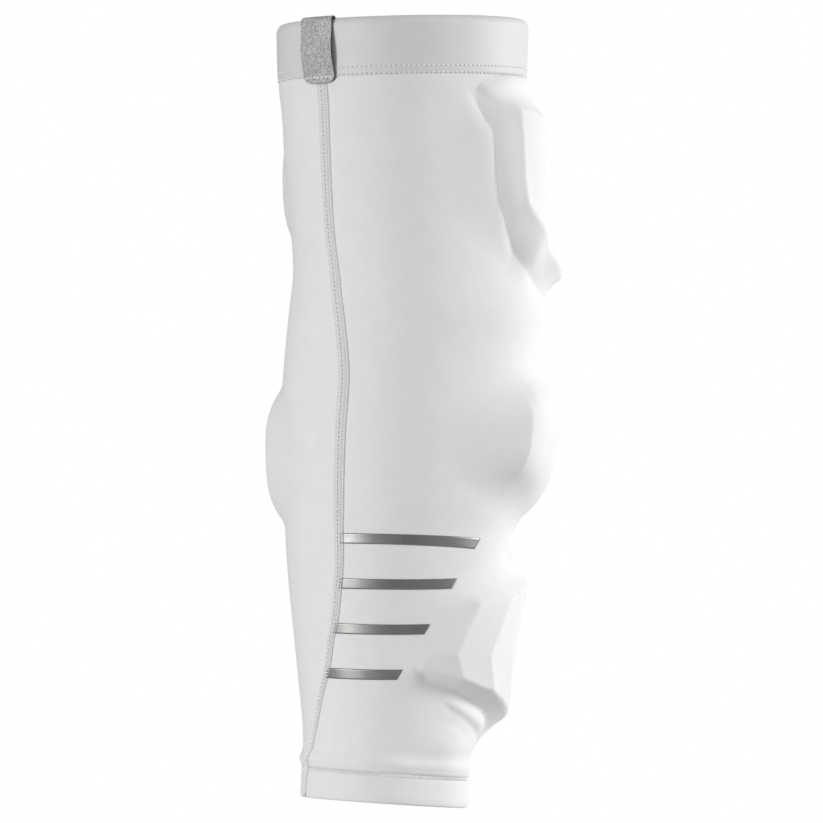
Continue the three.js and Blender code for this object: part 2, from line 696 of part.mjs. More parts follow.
// A shell that lies on the cloth, between two distances out from it: seam and bars are cut out of it.
function clothShell(low, high) {
  const at = (angle, share, row, out) =>
    shellRows[row].band
      ? onArm(angle, share, Math.max(BAND_PROUD, sleeveLift(angle, share)) + out)
      : offCloth(sleeveLift, angle, share, out);
  return toManifold(
    tubeBody(
      shellRows.map(({ share }) => share),
      (angle, share, row) => at(angle, share, row, high),
      (angle, share, row) => at(angle, share, row, low),
    ),
  );
}

// A block that takes in all that lies over a strip between two edges, each with its angle and share.
function stripCutter(steps, edges) {
  const loops = [];
  for (let k = 0; k <= steps; k++) {
    const [near, far] = edges(k / steps);
    loops.push([
      onArm(near.angle, near.share, -CUTTER_SINK),
      onArm(near.angle, near.share, CUTTER_REACH),
      onArm(far.angle, far.share, CUTTER_REACH),
      onArm(far.angle, far.share, -CUTTER_SINK),
    ]);
  }
  return toManifold(loopsBody(loops, false));
}

const seamAngle = (share) => along(SEAM_PATH, "share", "angle", share);

function seamBody() {
  const half = SEAM_WIDTH / 2 / FLAT_PER_DEGREE;
  const cutter = stripCutter(SEAM_STEPS, (t) => {
    const share = mix(SEAM_FOOT_SHARE, SEAM_TOP_SHARE, t);
    const angle = seamAngle(share);
    return [
      { angle: angle - half, share },
      { angle: angle + half, share },
    ];
  });
  return fromManifold(clothShell(FIT_GAP, FIT_GAP + SEAM_THICKNESS).intersect(cutter));
}

function barBody({ end, droop }, number) {
  const middle = FIRST_BAR_SHARE - (number * BAR_PITCH) / SLEEVE_LENGTH;
  const edge = (side, t) => {
    const share = middle + (side * BAR_HEIGHT) / 2 / SLEEVE_LENGTH;
    const start = seamAngle(share) + (SEAM_WIDTH / 2 + FIT_GAP * 2) / FLAT_PER_DEGREE;
    const finish = end + (side * BAR_SLANT) / 2 / FLAT_PER_DEGREE;
    return { angle: mix(start, finish, t), share: share - (droop * t ** 3) / SLEEVE_LENGTH };
  };
  const cutter = stripCutter(BAR_STEPS, (t) => [edge(1, t), edge(-1, t)]);
  return fromManifold(clothShell(FIT_GAP, FIT_GAP + BAR_THICKNESS).intersect(cutter));
}

// The tab is one ribbon: up the outside of the cuff, over its edge and down inside. Each row along it
// has a share of the sleeve's length, a lift, a half width and which way its outside faces.
function tabRows() {
  const cuffTop = 1 - CUFF_WALL / 2 / SLEEVE_LENGTH;
  const foot = 1 - TAB_LENGTH / SLEEVE_LENGTH;
  const rows = [];
  const legSteps = 7;
  for (let k = 0; k <= legSteps; k++) {
    const t = k / legSteps;
    const rise = Math.max(0, t * TAB_LENGTH);
    const round = TAB_CORNER - Math.min(rise, TAB_CORNER);
    const cut = TAB_CORNER - Math.sqrt(TAB_CORNER ** 2 - round ** 2);
    rows.push({
      share: mix(foot, cuffTop, t),
      lift: BAND_PROUD + FIT_GAP + TAB_BOW * Math.sin(Math.PI * t) ** 2 + TAB_THICKNESS / 2,
      half: TAB_WIDTH / 2 - cut,
      turn: 0,
    });
  }
  const radius = CUFF_WALL / 2 + FIT_GAP + TAB_THICKNESS / 2;
  const middle = BAND_PROUD - CUFF_WALL / 2;
  const turns = 6;
  const inward = (CUFF_WIDTH / 2) * (1 - Math.cos((widestColumn / 2) * DEGREE));
  for (let k = 1; k <= turns; k++) {
    const turn = (k / turns) * Math.PI;
    rows.push({
      share: cuffTop + (Math.sin(turn) * radius) / SLEEVE_LENGTH,
      lift: middle + Math.cos(turn) * radius - (inward * k) / turns,
      half: TAB_WIDTH / 2,
      turn,
    });
  }
  for (let k = 1; k <= 4; k++) {
    rows.push({
      share: mix(cuffTop, foot, k / 4),
      lift: middle - radius - inward,
      half: TAB_WIDTH / 2,
      turn: Math.PI,
    });
  }
  return rows;
}

const TAB_COLUMNS = 4;
const tabAngle = (share) => seamAngle(clamp(share, 0, 1));

function tabPoint(row, across, out) {
  const share = row.share + (Math.sin(row.turn) * out) / SLEEVE_LENGTH;
  const lift = row.lift + Math.cos(row.turn) * out;
  return onArm(tabAngle(row.share) + (across * row.half) / FLAT_PER_DEGREE, share, lift);
}

function tabBody() {
  const outs = [TAB_THICKNESS / 2, -TAB_THICKNESS / 2];
  const loops = tabRows().map((row) =>
    outs.flatMap((out, side) =>
      Array.from({ length: TAB_COLUMNS + 1 }, (_, k) => {
        const across = (2 * k) / TAB_COLUMNS - 1;
        return tabPoint(row, side ? -across : across, out);
      }),
    ),
  );
  return loopsBody(loops, false);
}

const knit = { color: 0xefeeee, roughness: 0.85, metalness: 0 };
const material = {
  sleeve: new THREE.MeshStandardMaterial(knit),
  band: new THREE.MeshStandardMaterial({ ...knit, color: 0xe6e5e5 }),
  thread: new THREE.MeshStandardMaterial({ color: 0xe9e8e8, roughness: 0.7, metalness: 0 }),
  reflective: new THREE.MeshStandardMaterial({ color: 0x77777a, roughness: 0.35, metalness: 0.4 }),
  ribbon: new THREE.MeshStandardMaterial({ color: 0xadacab, roughness: 0.6, metalness: 0.1 }),
  foam: new THREE.MeshStandardMaterial({ color: 0xdcdcda, roughness: 0.95, metalness: 0 }),
};

const armPad = new THREE.Group();
armPad.name = "lacrosse_arm_pad";

function add(name, geometry, finish) {
  const mesh = new THREE.Mesh(geometry, finish);
  mesh.name = name;
  armPad.add(mesh);
}

add("sleeve_body", sleeveBody(), material.sleeve);
add("top_cuff", bandBody(1, CUFF_SHARE, CUFF_WALL), material.band);
add("bottom_hem", bandBody(0, HEM_SHARE, HEM_WALL), material.band);
add("flatlock_seam", seamBody(), material.thread);
BARS.forEach((bar, number) => add(`reflective_bar_${number + 1}`, barBody(bar, number), material.reflective));
add("ribbon_tab", tabBody(), material.ribbon);

const space = paddingSpace();
for (const [name, stations] of [
  ["upper_arm_pad", UPPER_RIM],
  ["elbow_pad", ELBOW_DOME],
  ["forearm_pad", FOREARM_RIM],
]) {
  add(name, fromManifold(space.intersect(padCutter(stations))), material.foam);
}

export default armPad;
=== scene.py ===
# A white lacrosse arm pad as worn: a knitted sleeve drawn over three foam pads, with an elastic cuff, a
# folded hem, a flatlock seam, a ribbon tab and four reflective bars. Shapes are worked out in
# millimetres, by an angle round the arm in degrees (-90 at the front) and a share of its length.
import math

import bmesh
import bpy
import numpy as np
from mathutils import Matrix, Vector


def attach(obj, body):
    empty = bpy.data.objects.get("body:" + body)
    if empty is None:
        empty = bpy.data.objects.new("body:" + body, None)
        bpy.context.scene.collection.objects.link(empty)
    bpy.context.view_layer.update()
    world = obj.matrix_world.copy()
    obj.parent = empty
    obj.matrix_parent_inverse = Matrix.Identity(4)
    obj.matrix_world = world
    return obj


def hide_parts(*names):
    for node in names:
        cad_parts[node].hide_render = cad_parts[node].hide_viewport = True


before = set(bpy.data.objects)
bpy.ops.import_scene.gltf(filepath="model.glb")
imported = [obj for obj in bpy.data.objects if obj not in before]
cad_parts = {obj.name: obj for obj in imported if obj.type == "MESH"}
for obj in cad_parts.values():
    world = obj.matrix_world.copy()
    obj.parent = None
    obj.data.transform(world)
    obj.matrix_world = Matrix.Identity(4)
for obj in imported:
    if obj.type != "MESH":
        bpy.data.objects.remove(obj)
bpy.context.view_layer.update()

# Sizes in millimetres, and turns in degrees, the same as the solids'
SLEEVE_LENGTH = 373.2
ELBOW_SHARE = 0.4512
CUFF_WIDTH = 120.4
CUFF_DEPTH = 114
HEM_WIDTH = 79.2
HEM_DEPTH = 74
FABRIC_WALL = 1.2
FIT_GAP = 0.3
CUFF_HEIGHT = 27.5
CUFF_WALL = 2.4
HEM_HEIGHT = 14.5
HEM_WALL = 2.2
BAND_PROUD = 0.4
CUFF_TILT = 1.2
HEM_TILT = -3.9
HEM_PITCH = -2.7
UPPER_PAD_THICKNESS = 12.8
UPPER_LEDGE_THICKNESS = 4.8
UPPER_RIM_THICKNESS = 2.6
ELBOW_PAD_THICKNESS = 14.5
FOREARM_PAD_THICKNESS = 12.6
FOREARM_RIM_THICKNESS = 4.4
FOREARM_CHEVRON = 10.5
PAD_BACK = 1
BAR_HEIGHT = 5
BAR_PITCH = 21.95
FIRST_BAR_SHARE = 0.3388
BAR_SLANT = 3.2
TAB_LENGTH = 30.5
TAB_CORNER = 4
RIM_RUN = 2.4
DOME_FLATNESS = 3.4
DOME_EASE = 1.1
FOREARM_SLOPE = 2.2  # rise to run inside the forearm pad's rim
FOREARM_KNEE_SHARE = 0.1934
FOREARM_KNEE_REACH = 0.067
FOLD_HEIGHT = 2
FOLD_WIDTH = 4.4
HEM_ROLL_HEIGHT = 1.6
HEM_ROLL_WIDTH = 4.2
HEM_ROLL_SHARPNESS = 2
FOLD_FADES = 4  # a fold fades in and out over its length divided by this

# How the creases fade at their ends: in degrees at the first and the last angle, in millimetres at the top
CREASE_FADE_FROM = 14
CREASE_FADE_TO = 30
CREASE_FADE_UP = 8

# How the drape pulls, and how finely it is worked out: a coarse pass first, then the sleeve's own grid
HOOP_TENSION = 1
LENGTH_TENSION = 0.22
COARSE_COLUMNS = 120
COARSE_ROWS = 124
COARSE_PASSES = 1800
FINE_PASSES = 420
SWING_PASSES = 6
COARSE_START = -90
GRID_START = -125
GRID_END = GRID_START + 360
CHEVRON_FADE = 45
CHEVRON_END = -5
PROBE = 0.8  # how far to each side a surface is measured, to find which way it faces

# The sleeve's own grid. columns: angle from, angle to, cells
COLUMN_SPANS = [(GRID_START, -72, 30), (-72, 4, 80), (4, GRID_END, 120)]
# columns: share from, share to, cells
ROW_SPANS = [(0.0389, 0.085, 13), (0.085, 0.306, 76), (0.306, 0.635, 58), (0.635, 0.9263, 68)]

# columns: share, shift, back, fill
SECTIONS = np.array([
    (0.0, -0.1037, -0.08, 0.012),
    (0.0201, -0.0997, -0.073, 0.012),
    (0.0561, -0.0977, -0.066, 0.0),
    (0.078, -0.0857, -0.058, 0.07),
    (0.1037, -0.0777, -0.05, 0.14),
    (0.1295, -0.0738, -0.043, 0.21),
    (0.181, -0.0688, -0.032, 0.332),
    (0.2324, -0.0648, -0.018, 0.449),
    (0.28, -0.0592, -0.006, 0.567),
    (0.3225, -0.0498, 0.006, 0.676),
    (0.3483, -0.0439, 0.012, 0.734),
    (0.3869, -0.0269, 0.019, 0.868),
    (0.4512, -0.009, 0.027, 1.019),
    (0.5155, 0.001, 0.027, 1.078),
    (0.5799, 0.008, 0.022, 1.037),
    (0.6314, 0.0239, 0.017, 1.037),
    (0.6828, 0.0159, 0.01, 0.897),
    (0.76, -0.008, 0.0, 0.85),
    (0.8373, -0.0219, -0.006, 0.885),
    (0.8887, -0.0289, -0.01, 0.903),
    (0.917, -0.0309, -0.013, 0.95),
    (1.0, -0.0299, -0.018, 1.002),
])
# columns: angle, top, foot
UPPER_RIM = np.array([
    (-49.5, 0.9094, 0.9034),
    (-46, 0.9134, 0.8844),
    (-42, 0.9164, 0.8574),
    (-41, 0.9174, 0.7954),
    (-40, 0.9174, 0.7704),
    (-35, 0.9204, 0.7324),
    (-28, 0.9204, 0.6954),
    (-15, 0.9174, 0.6674),
    (4, 0.9124, 0.6504),
    (60, 0.9154, 0.6384),
    (110, 0.9134, 0.6474),
    (140, 0.9064, 0.6774),
    (156, 0.8804, 0.7104),
    (172, 0.8034, 0.7474),
])
# columns: angle, top, foot
UPPER_LEDGE = np.array([
    (-45.5, 0.8934, 0.8854),
    (-40, 0.8954, 0.8404),
    (-39, 0.8954, 0.7804),
    (-35, 0.8954, 0.7474),
    (-28, 0.8934, 0.7134),
    (-15, 0.8864, 0.6834),
    (4, 0.8794, 0.6624),
    (60, 0.8854, 0.6504),
    (108, 0.8834, 0.6614),
    (136, 0.8774, 0.6924),
    (162, 0.7974, 0.7504),
])
# columns: angle, top, foot
UPPER_FACE = np.array([
    (-37.5, 0.8814, 0.8714),
    (-36.5, 0.8814, 0.7614),
    (-28, 0.8784, 0.7374),
    (-20, 0.8754, 0.7134),
    (-8, 0.8714, 0.6874),
    (6, 0.8664, 0.6704),
    (60, 0.8694, 0.6634),
    (104, 0.8684, 0.6734),
    (130, 0.8614, 0.7054),
    (149, 0.7934, 0.7554),
])
# columns: angle, top, foot
FOREARM_RIM = np.array([
    (-74, 0.1794, 0.1734),
    (-64, 0.2154, 0.1649),
    (-52, 0.2574, 0.1544),
    (-49, 0.2684, 0.1524),
    (-36, 0.2674, 0.1434),
    (-17, 0.2754, 0.1294),
    (0, 0.2974, 0.1074),
    (28, 0.2974, 0.1014),
    (80, 0.2934, 0.1054),
    (112, 0.2794, 0.1234),
    (130, 0.2234, 0.1654),
])
# columns: angle, top, foot, height
ELBOW_DOME = np.array([
    (-39, 0.5354, 0.4034, 0.96),
    (-33, 0.5434, 0.3954, 0.94),
    (-20, 0.5454, 0.3774, 0.82),
    (0, 0.5494, 0.3594, 0.76),
    (40, 0.5734, 0.3534, 0.84),
    (78, 0.5834, 0.3454, 1.0),
    (116, 0.5704, 0.3514, 0.84),
    (150, 0.5514, 0.3494, 0.7),
    (166, 0.5404, 0.3514, 0.62),
    (174, 0.5304, 0.3534, 0.58),
])
# columns: angle, height
FOREARM_RIDGES = np.array([
    (-66, 0.36),
    (-47, 0.86),
    (-27, 0.96),
    (-5, 1.0),
    (18, 1.0),
    (44, 1.0),
    (72, 1.0),
    (100, 0.9),
    (126, 0.4),
])
# columns: from, from share, to, to share, height and width as shares of FOLD_HEIGHT and FOLD_WIDTH;
# a height below zero is a dip
FOLDS = np.array([
    (-60, 0.1374, -4, 0.0934, 0.85, 0.85),
    (-68, 0.1304, 6, 0.0774, -0.85, 0.78),
    (-14, 0.3204, 34, 0.3264, 1.3, 0.8),
    (-51, 0.9, -38, 0.69, 0.95, 1.9),
])
# Where the cloth is drawn down round a pad. columns: outline; how far outside it; angle from, to;
# share up to; depth; width
CREASES = [
    (UPPER_RIM, 6, -64, 4, 0.94, 3.1, 4.8),
    (FOREARM_RIM, 2.4, -80, 10, 0.186, 3.8, 4.0),
]
# Soft bulges of slack cloth, or dips where the height is below zero. columns: angle, share, height,
# half width round the arm and along it
BULGES = [
    (-48, 0.0745, 1.8, 17, 8),
    (-28, 0.705, 3.8, 8, 12),
    (-14, 0.718, -2.8, 9, 10),
]
# columns: share, angle
SEAM_PATH = np.array([
    (0, -161),
    (0.035, -158),
    (0.074, -150.8),
    (0.1, -145.5),
    (0.1264, -140.6),
    (0.1688, -132.3),
    (0.2055, -128.3),
    (0.232, -124.8),
    (0.288, -121.4),
    (0.3234, -121),
    (0.3947, -122),
    (0.4686, -122),
    (0.5419, -121),
    (0.58, -122.6),
    (0.6257, -126.6),
    (0.66, -129.4),
    (0.7192, -131.7),
    (0.8588, -130.2),
    (0.9157, -129.8),
    (1, -131.4),
])
# columns: end, droop
BARS = np.array([
    (-45.8, 2),
    (-57.4, -1.1),
    (-71.7, -1.1),
    (-85.5, -0.9),
])

CUFF_SHARE = 1 - CUFF_HEIGHT / SLEEVE_LENGTH
HEM_SHARE = HEM_HEIGHT / SLEEVE_LENGTH
AROUND = math.radians((CUFF_WIDTH + CUFF_DEPTH) / 4)  # millimetres to a degree, unrolled flat
TAB_FOOT_SHARE = 1 - TAB_LENGTH / SLEEVE_LENGTH


def mix(a, b, t):
    return a + (b - a) * t


def smooth(t):
    t = np.clip(t, 0, 1)
    return t * t * (3 - 2 * t)


def curve(table, column, at):
    """A table's column on a smooth curve through its rows, by the table's first column."""
    keys, values = table[:, 0], table[:, column]
    x = np.clip(at, keys[0], keys[-1])
    i = np.clip(np.searchsorted(keys, x) - 1, 0, len(keys) - 2)
    slope = np.empty(len(keys))
    slope[1:-1] = (values[2:] - values[:-2]) / (keys[2:] - keys[:-2])
    slope[0] = (values[1] - values[0]) / (keys[1] - keys[0])
    slope[-1] = (values[-1] - values[-2]) / (keys[-1] - keys[-2])
    span = keys[i + 1] - keys[i]
    t = (x - keys[i]) / span
    bend = slope[i] * t * (1 - t) ** 2 - slope[i + 1] * t * t * (1 - t)
    return mix(values[i], values[i + 1], smooth(t)) + span * bend


def on_arm(angle, share, lift):
    """A point that lies a lift out from the arm, in millimetres."""
    angle, share, lift = np.broadcast_arrays(np.radians(angle), np.asarray(share, float), lift)
    fill = curve(SECTIONS, 3, share)
    half_width = mix(HEM_WIDTH, CUFF_WIDTH, fill) / 2
    half_depth = mix(HEM_DEPTH, CUFF_DEPTH, fill) / 2
    lean = smooth(share / ELBOW_SHARE)
    rise = smooth((share - ELBOW_SHARE) / (1 - ELBOW_SHARE))
    tilt = np.radians(mix(HEM_TILT, 0, lean) + CUFF_TILT * rise)
    pitch = np.radians(mix(HEM_PITCH, 0, lean))
    cos, sin = np.cos(angle), np.sin(angle)
    out_x, out_y = cos / half_width, sin / half_depth
    reach = np.hypot(out_x, out_y)
    right = half_width * cos + out_x / reach * lift
    back = half_depth * sin + out_y / reach * lift
    x = curve(SECTIONS, 1, share) * CUFF_WIDTH + np.cos(tilt) * right
    y = curve(SECTIONS, 2, share) * CUFF_DEPTH + np.cos(pitch) * back
    z = (share - ELBOW_SHARE) * SLEEVE_LENGTH + np.sin(tilt) * right + np.sin(pitch) * back
    return np.stack([x, y, z], axis=-1)


def outline(stations):
    tops = stations[:, [0, 1]]
    feet = stations[::-1][:, [0, 2]]
    return np.concatenate([tops, feet]) * (AROUND, SLEEVE_LENGTH)


def segment_distance(a, b, x, y):
    run = b - a
    t = np.clip(((x - a[0]) * run[0] + (y - a[1]) * run[1]) / (run @ run), 0, 1)
    return np.hypot(x - a[0] - t * run[0], y - a[1] - t * run[1]), t


def depth_inside(corners, angle, share):
    """How far a place lies inside an outline; below zero outside it."""
    x, y = angle * AROUND, share * SLEEVE_LENGTH
    nearest = np.full(np.shape(x), np.inf)
    inside = np.zeros(np.shape(x), bool)
    for a, b in zip(np.roll(corners, 1, axis=0), corners):
        nearest = np.minimum(nearest, segment_distance(a, b, x, y)[0])
        if a[1] != b[1]:
            crosses = (a[1] > y) != (b[1] > y)
            inside ^= crosses & (x < a[0] + (y - a[1]) / (b[1] - a[1]) * (b[0] - a[0]))
    return np.where(inside, nearest, -nearest)


def upper_pad_height(angle, share):
    rim = depth_inside(outline(UPPER_RIM), angle, share)
    ledge = depth_inside(outline(UPPER_LEDGE), angle, share)
    face = depth_inside(outline(UPPER_FACE), angle, share)
    height = UPPER_RIM_THICKNESS * np.maximum(0, 1 + rim / RIM_RUN)
    to_ledge = rim / (rim - np.minimum(ledge, -1e-9))
    height = np.where(rim > 0, mix(UPPER_RIM_THICKNESS, UPPER_LEDGE_THICKNESS, to_ledge), height)
    to_face = ledge / (ledge - np.minimum(face, -1e-9))
    height = np.where(ledge > 0, mix(UPPER_LEDGE_THICKNESS, UPPER_PAD_THICKNESS, to_face), height)
    return np.where(face > 0, UPPER_PAD_THICKNESS, height)


def beyond(value, low, high):
    """How far a value lies outside a range."""
    return np.maximum(np.maximum(low - value, value - high), 0)


def elbow_pad_height(angle, share):
    past = beyond(angle, ELBOW_DOME[0, 0], ELBOW_DOME[-1, 0]) * AROUND
    top, foot = curve(ELBOW_DOME, 1, angle), curve(ELBOW_DOME, 2, angle)
    across = (2 * share - top - foot) / (top - foot)
    dome = np.maximum(0, 1 - np.abs(across) ** DOME_FLATNESS) ** DOME_EASE
    rise = curve(ELBOW_DOME, 3, angle) * ELBOW_PAD_THICKNESS * dome
    return rise * np.maximum(0, 1 - past / RIM_RUN)


def forearm_swing(share):
    """How far the forearm pad's ridges bend forwards, in degrees."""
    from_knee = np.abs(share - FOREARM_KNEE_SHARE)
    return FOREARM_CHEVRON * np.maximum(0, 1 - from_knee / FOREARM_KNEE_REACH)


def forearm_pad_height(angle, share):
    depth = depth_inside(outline(FOREARM_RIM), angle, share)
    at = angle + forearm_swing(share)
    ridges, heights = FOREARM_RIDGES[:, 0], FOREARM_RIDGES[:, 1] * FOREARM_PAD_THICKNESS
    i = np.clip(np.searchsorted(ridges, at) - 1, 0, len(ridges) - 2)
    span = np.radians(ridges[i + 1] - ridges[i])
    t = np.clip((at - ridges[i]) / (ridges[i + 1] - ridges[i]), 0, 1)
    radius = mix(HEM_WIDTH, CUFF_WIDTH, curve(SECTIONS, 3, share)) / 2
    near = np.sin((1 - t) * span) / (radius + heights[i])
    far = np.sin(t * span) / (radius + heights[i + 1])
    face = np.sin(span) / (near + far) - radius
    rim = np.minimum(face, FOREARM_RIM_THICKNESS)
    inner = np.minimum(face, rim + depth * FOREARM_SLOPE)
    height = np.where(depth > 0, inner, rim * (1 + depth / RIM_RUN))
    return np.where(depth > -RIM_RUN, height, 0)


def pad_height(angle, share):
    pads = upper_pad_height, elbow_pad_height, forearm_pad_height
    return np.maximum.reduce([height(angle, share) for height in pads])


def drape(angle, share, start, passes):
    """Draws the cloth tight over the pads, on a grid of columns by rows, and gives its lift.

    Each point moves in or out until the pull round the arm and the pull along it balance, or it meets
    a pad or the arm.
    """
    floor = pad_height(angle, share)
    base = on_arm(angle, share, 0.0)
    out = on_arm(angle, share, 1.0) - base
    turned = np.roll(angle, -1, axis=0)
    turned[-1] += 360
    after = (turned - angle) * AROUND
    before = np.roll(after, 1, axis=0)
    rows = np.diff(share, axis=1) * SLEEVE_LENGTH
    below, above = rows[:, :-1], rows[:, 1:]
    inner = (slice(None), slice(1, -1))
    weight_before = (2 * HOOP_TENSION / (before * (before + after)))[inner][..., None]
    weight_after = (2 * HOOP_TENSION / (after * (before + after)))[inner][..., None]
    weight_below = (2 * LENGTH_TENSION / (below * (below + above)))[..., None]
    weight_above = (2 * LENGTH_TENSION / (above * (below + above)))[..., None]
    total = weight_before + weight_after + weight_below + weight_above
    lift = np.maximum(start, floor)
    at = base + out * lift[..., None]
    for _ in range(passes):
        pull = np.roll(at, 1, axis=0)[inner] * weight_before
        pull += np.roll(at, -1, axis=0)[inner] * weight_after
        pull += at[:, :-2] * weight_below + at[:, 2:] * weight_above
        free = ((pull / total - base[inner]) * out[inner]).sum(-1)
        lift[inner] = np.maximum(floor[inner], np.maximum(free, 0))
        at[inner] = base[inner] + out[inner] * lift[inner][..., None]
    return lift


def bilinear(grid, x, y):
    """A grid's value at a fractional column, which wraps, and a fractional row."""
    columns, rows = grid.shape
    i, j = np.floor(x).astype(int), np.clip(np.floor(y).astype(int), 0, rows - 2)
    s, t = x - i, np.clip(y - j, 0, 1)
    i, near = i % columns, (i + 1) % columns
    return mix(mix(grid[i, j], grid[near, j], s), mix(grid[i, j + 1], grid[near, j + 1], s), t)


def unrolled(angle):
    """The same angle within the range of the sleeve's grid."""
    return (angle - GRID_START) % 360 + GRID_START


def steps(spans):
    """The places of a grid's lines, from spans of even cells."""
    runs = [np.linspace(a, b, cells, endpoint=False) for a, b, cells in spans]
    return np.concatenate(runs + [[spans[-1][1]]])


COLUMN_ANGLES = steps(COLUMN_SPANS)[:-1]
ROW_SHARES = steps(ROW_SPANS)
ROW_SHARES[0], ROW_SHARES[-1] = HEM_SHARE, CUFF_SHARE
COLUMN_LINES = np.append(COLUMN_ANGLES, float(GRID_END))
COLUMN_NUMBERS, ROW_NUMBERS = np.arange(len(COLUMN_LINES)), np.arange(len(ROW_SHARES))


def swing_at(column, share):
    """How far a column of the sleeve's grid swings forwards, with the forearm pad's ridges."""
    past = beyond(column, FOREARM_RIDGES[0, 0], CHEVRON_END)
    return forearm_swing(share) * np.maximum(0, 1 - past / CHEVRON_FADE)


def sleeve_grid():
    columns, share = np.meshgrid(COLUMN_ANGLES, ROW_SHARES, indexing="ij")
    return columns - swing_at(columns, share), share


def drape_finely():
    coarse_angle = COARSE_START + 360 / COARSE_COLUMNS * np.arange(COARSE_COLUMNS)
    coarse_share = np.linspace(HEM_SHARE, CUFF_SHARE, COARSE_ROWS + 1)
    angle, share = np.meshgrid(coarse_angle, coarse_share, indexing="ij")
    # both grids unroll the arm where no pad's outline is cut
    coarse = drape(angle, share, 0.0, COARSE_PASSES)
    angle, share = sleeve_grid()
    x = (angle - COARSE_START) / 360 * COARSE_COLUMNS
    y = (share - HEM_SHARE) / (CUFF_SHARE - HEM_SHARE) * COARSE_ROWS
    return drape(angle, share, bilinear(coarse, x, y), FINE_PASSES)


def fold_lift(angle, share):
    x, y = angle * AROUND, share * SLEEVE_LENGTH
    lift = 0.0
    for from_angle, from_share, to_angle, to_share, height, width in FOLDS:
        a = np.array([from_angle * AROUND, from_share * SLEEVE_LENGTH])
        b = np.array([to_angle * AROUND, to_share * SLEEVE_LENGTH])
        away, t = segment_distance(a, b, x, y)
        fade = smooth(FOLD_FADES * t) * smooth(FOLD_FADES * (1 - t))
        lift = lift + FOLD_HEIGHT * height * fade * np.exp(-((away / (FOLD_WIDTH * width)) ** 2))
    for middle_angle, middle_share, height, across, up in BULGES:
        aside, above = x - middle_angle * AROUND, y - middle_share * SLEEVE_LENGTH
        lift = lift + height * np.exp(-((aside / across) ** 2 + (above / up) ** 2))
    over_hem = (share - HEM_SHARE) * SLEEVE_LENGTH - HEM_ROLL_WIDTH
    return lift + HEM_ROLL_HEIGHT * np.exp(-((over_hem / HEM_ROLL_WIDTH) ** 2) * HEM_ROLL_SHARPNESS)


def crease(lift):
    """Draws the tight cloth down along the pads' outlines, where it is bonded round them."""
    angle, share = sleeve_grid()
    floor = pad_height(angle, share)
    for stations, outside, from_angle, to_angle, to_share, depth, width in CREASES:
        window = smooth((angle - from_angle) / CREASE_FADE_FROM)
        window = window * smooth((to_angle - angle) / CREASE_FADE_TO)
        window = window * smooth((to_share - share) * SLEEVE_LENGTH / CREASE_FADE_UP)
        away = np.abs(depth_inside(outline(stations), angle, share) + outside)
        lift = np.maximum(np.minimum(floor, lift), lift - window * depth * np.exp(-away / width))
    return lift


DRAPED = crease(drape_finely())


def sleeve_lift(angle, share):
    """How far the outside of the sleeve's cloth lies out from the arm."""
    angle = unrolled(np.asarray(angle, float))
    share = np.asarray(share, float)
    column = angle
    for _ in range(SWING_PASSES):
        column = angle + swing_at(column, share)
    x = np.interp(column, COLUMN_LINES, COLUMN_NUMBERS)
    y = np.interp(share, ROW_SHARES, ROW_NUMBERS)
    return np.maximum(0, bilinear(DRAPED, x, y) + fold_lift(angle, share))


def off_cloth(lift, angle, share, out):
    """A point that lies out from a surface, square to it. lift(angle, share) gives the surface."""
    def surface(angle, share):
        return on_arm(angle, share, lift(angle, share))

    turn, rise = PROBE / AROUND, PROBE / SLEEVE_LENGTH
    round_arm = surface(angle + turn, share) - surface(angle - turn, share)
    low, high = np.maximum(share - rise, 0), np.minimum(share + rise, 1)
    along_arm = surface(angle, high) - surface(angle, low)
    normal = np.cross(round_arm, along_arm)
    normal /= np.linalg.norm(normal, axis=-1, keepdims=True)
    return surface(angle, share) + normal * np.asarray(out, float)[..., None]


# Making pieces: cut flat, then wrapped round the arm

def flat_cloth(across, along):
    """A flat rectangle of cells, from 0 to 1 each way."""
    cloth = bmesh.new()
    bmesh.ops.create_grid(cloth, x_segments=across, y_segments=along, size=0.5)
    bmesh.ops.translate(cloth, verts=cloth.verts, vec=(0.5, 0.5, 0))
    return cloth


def thicken(cloth):
    """Gives a flat cloth a second face at depth 1, with its edges closed."""
    raised = bmesh.ops.extrude_face_region(cloth, geom=list(cloth.faces), use_keep_orig=True)
    new = [v for v in raised["geom"] if isinstance(v, bmesh.types.BMVert)]
    bmesh.ops.translate(cloth, verts=new, vec=(0, 0, 1))


def wrapped(name, cloth, place, pattern=None, join_ends=False):
    """Wraps a flat cloth: place gives each point's millimetres from its flat x, y and depth.

    pattern gives the angle and share that the weave is laid out by.
    """
    if pattern:
        weave = cloth.loops.layers.uv.new("weave")
        for face in cloth.faces:
            for loop in face.loops:
                angle, share = pattern(loop.vert.co.x, loop.vert.co.y)
                loop[weave].uv = (angle * AROUND / 1000, share * SLEEVE_LENGTH / 1000)
    flat = np.array([v.co for v in cloth.verts])
    for vert, at in zip(cloth.verts, place(flat[:, 0], flat[:, 1], flat[:, 2]) / 1000):
        vert.co = at
    if join_ends:
        bmesh.ops.remove_doubles(cloth, verts=cloth.verts, dist=1e-5)
    bmesh.ops.recalc_face_normals(cloth, faces=cloth.faces)
    return as_piece(name, cloth)


def as_object(name, shape):
    mesh = bpy.data.meshes.new(name)
    shape.to_mesh(mesh)
    shape.free()
    made = bpy.data.objects.new(name, mesh)
    bpy.context.scene.collection.objects.link(made)
    return made


def as_piece(name, shape):
    piece = as_object(name, shape)
    piece.data.shade_smooth()
    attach(piece, "root")
    return piece


def ease_edges(piece, width):
    bevel = piece.modifiers.new("eased edge", "BEVEL")
    bevel.width = width
    bevel.segments = 2
    bevel.limit_method = "ANGLE"
    bevel.angle_limit = math.radians(50)


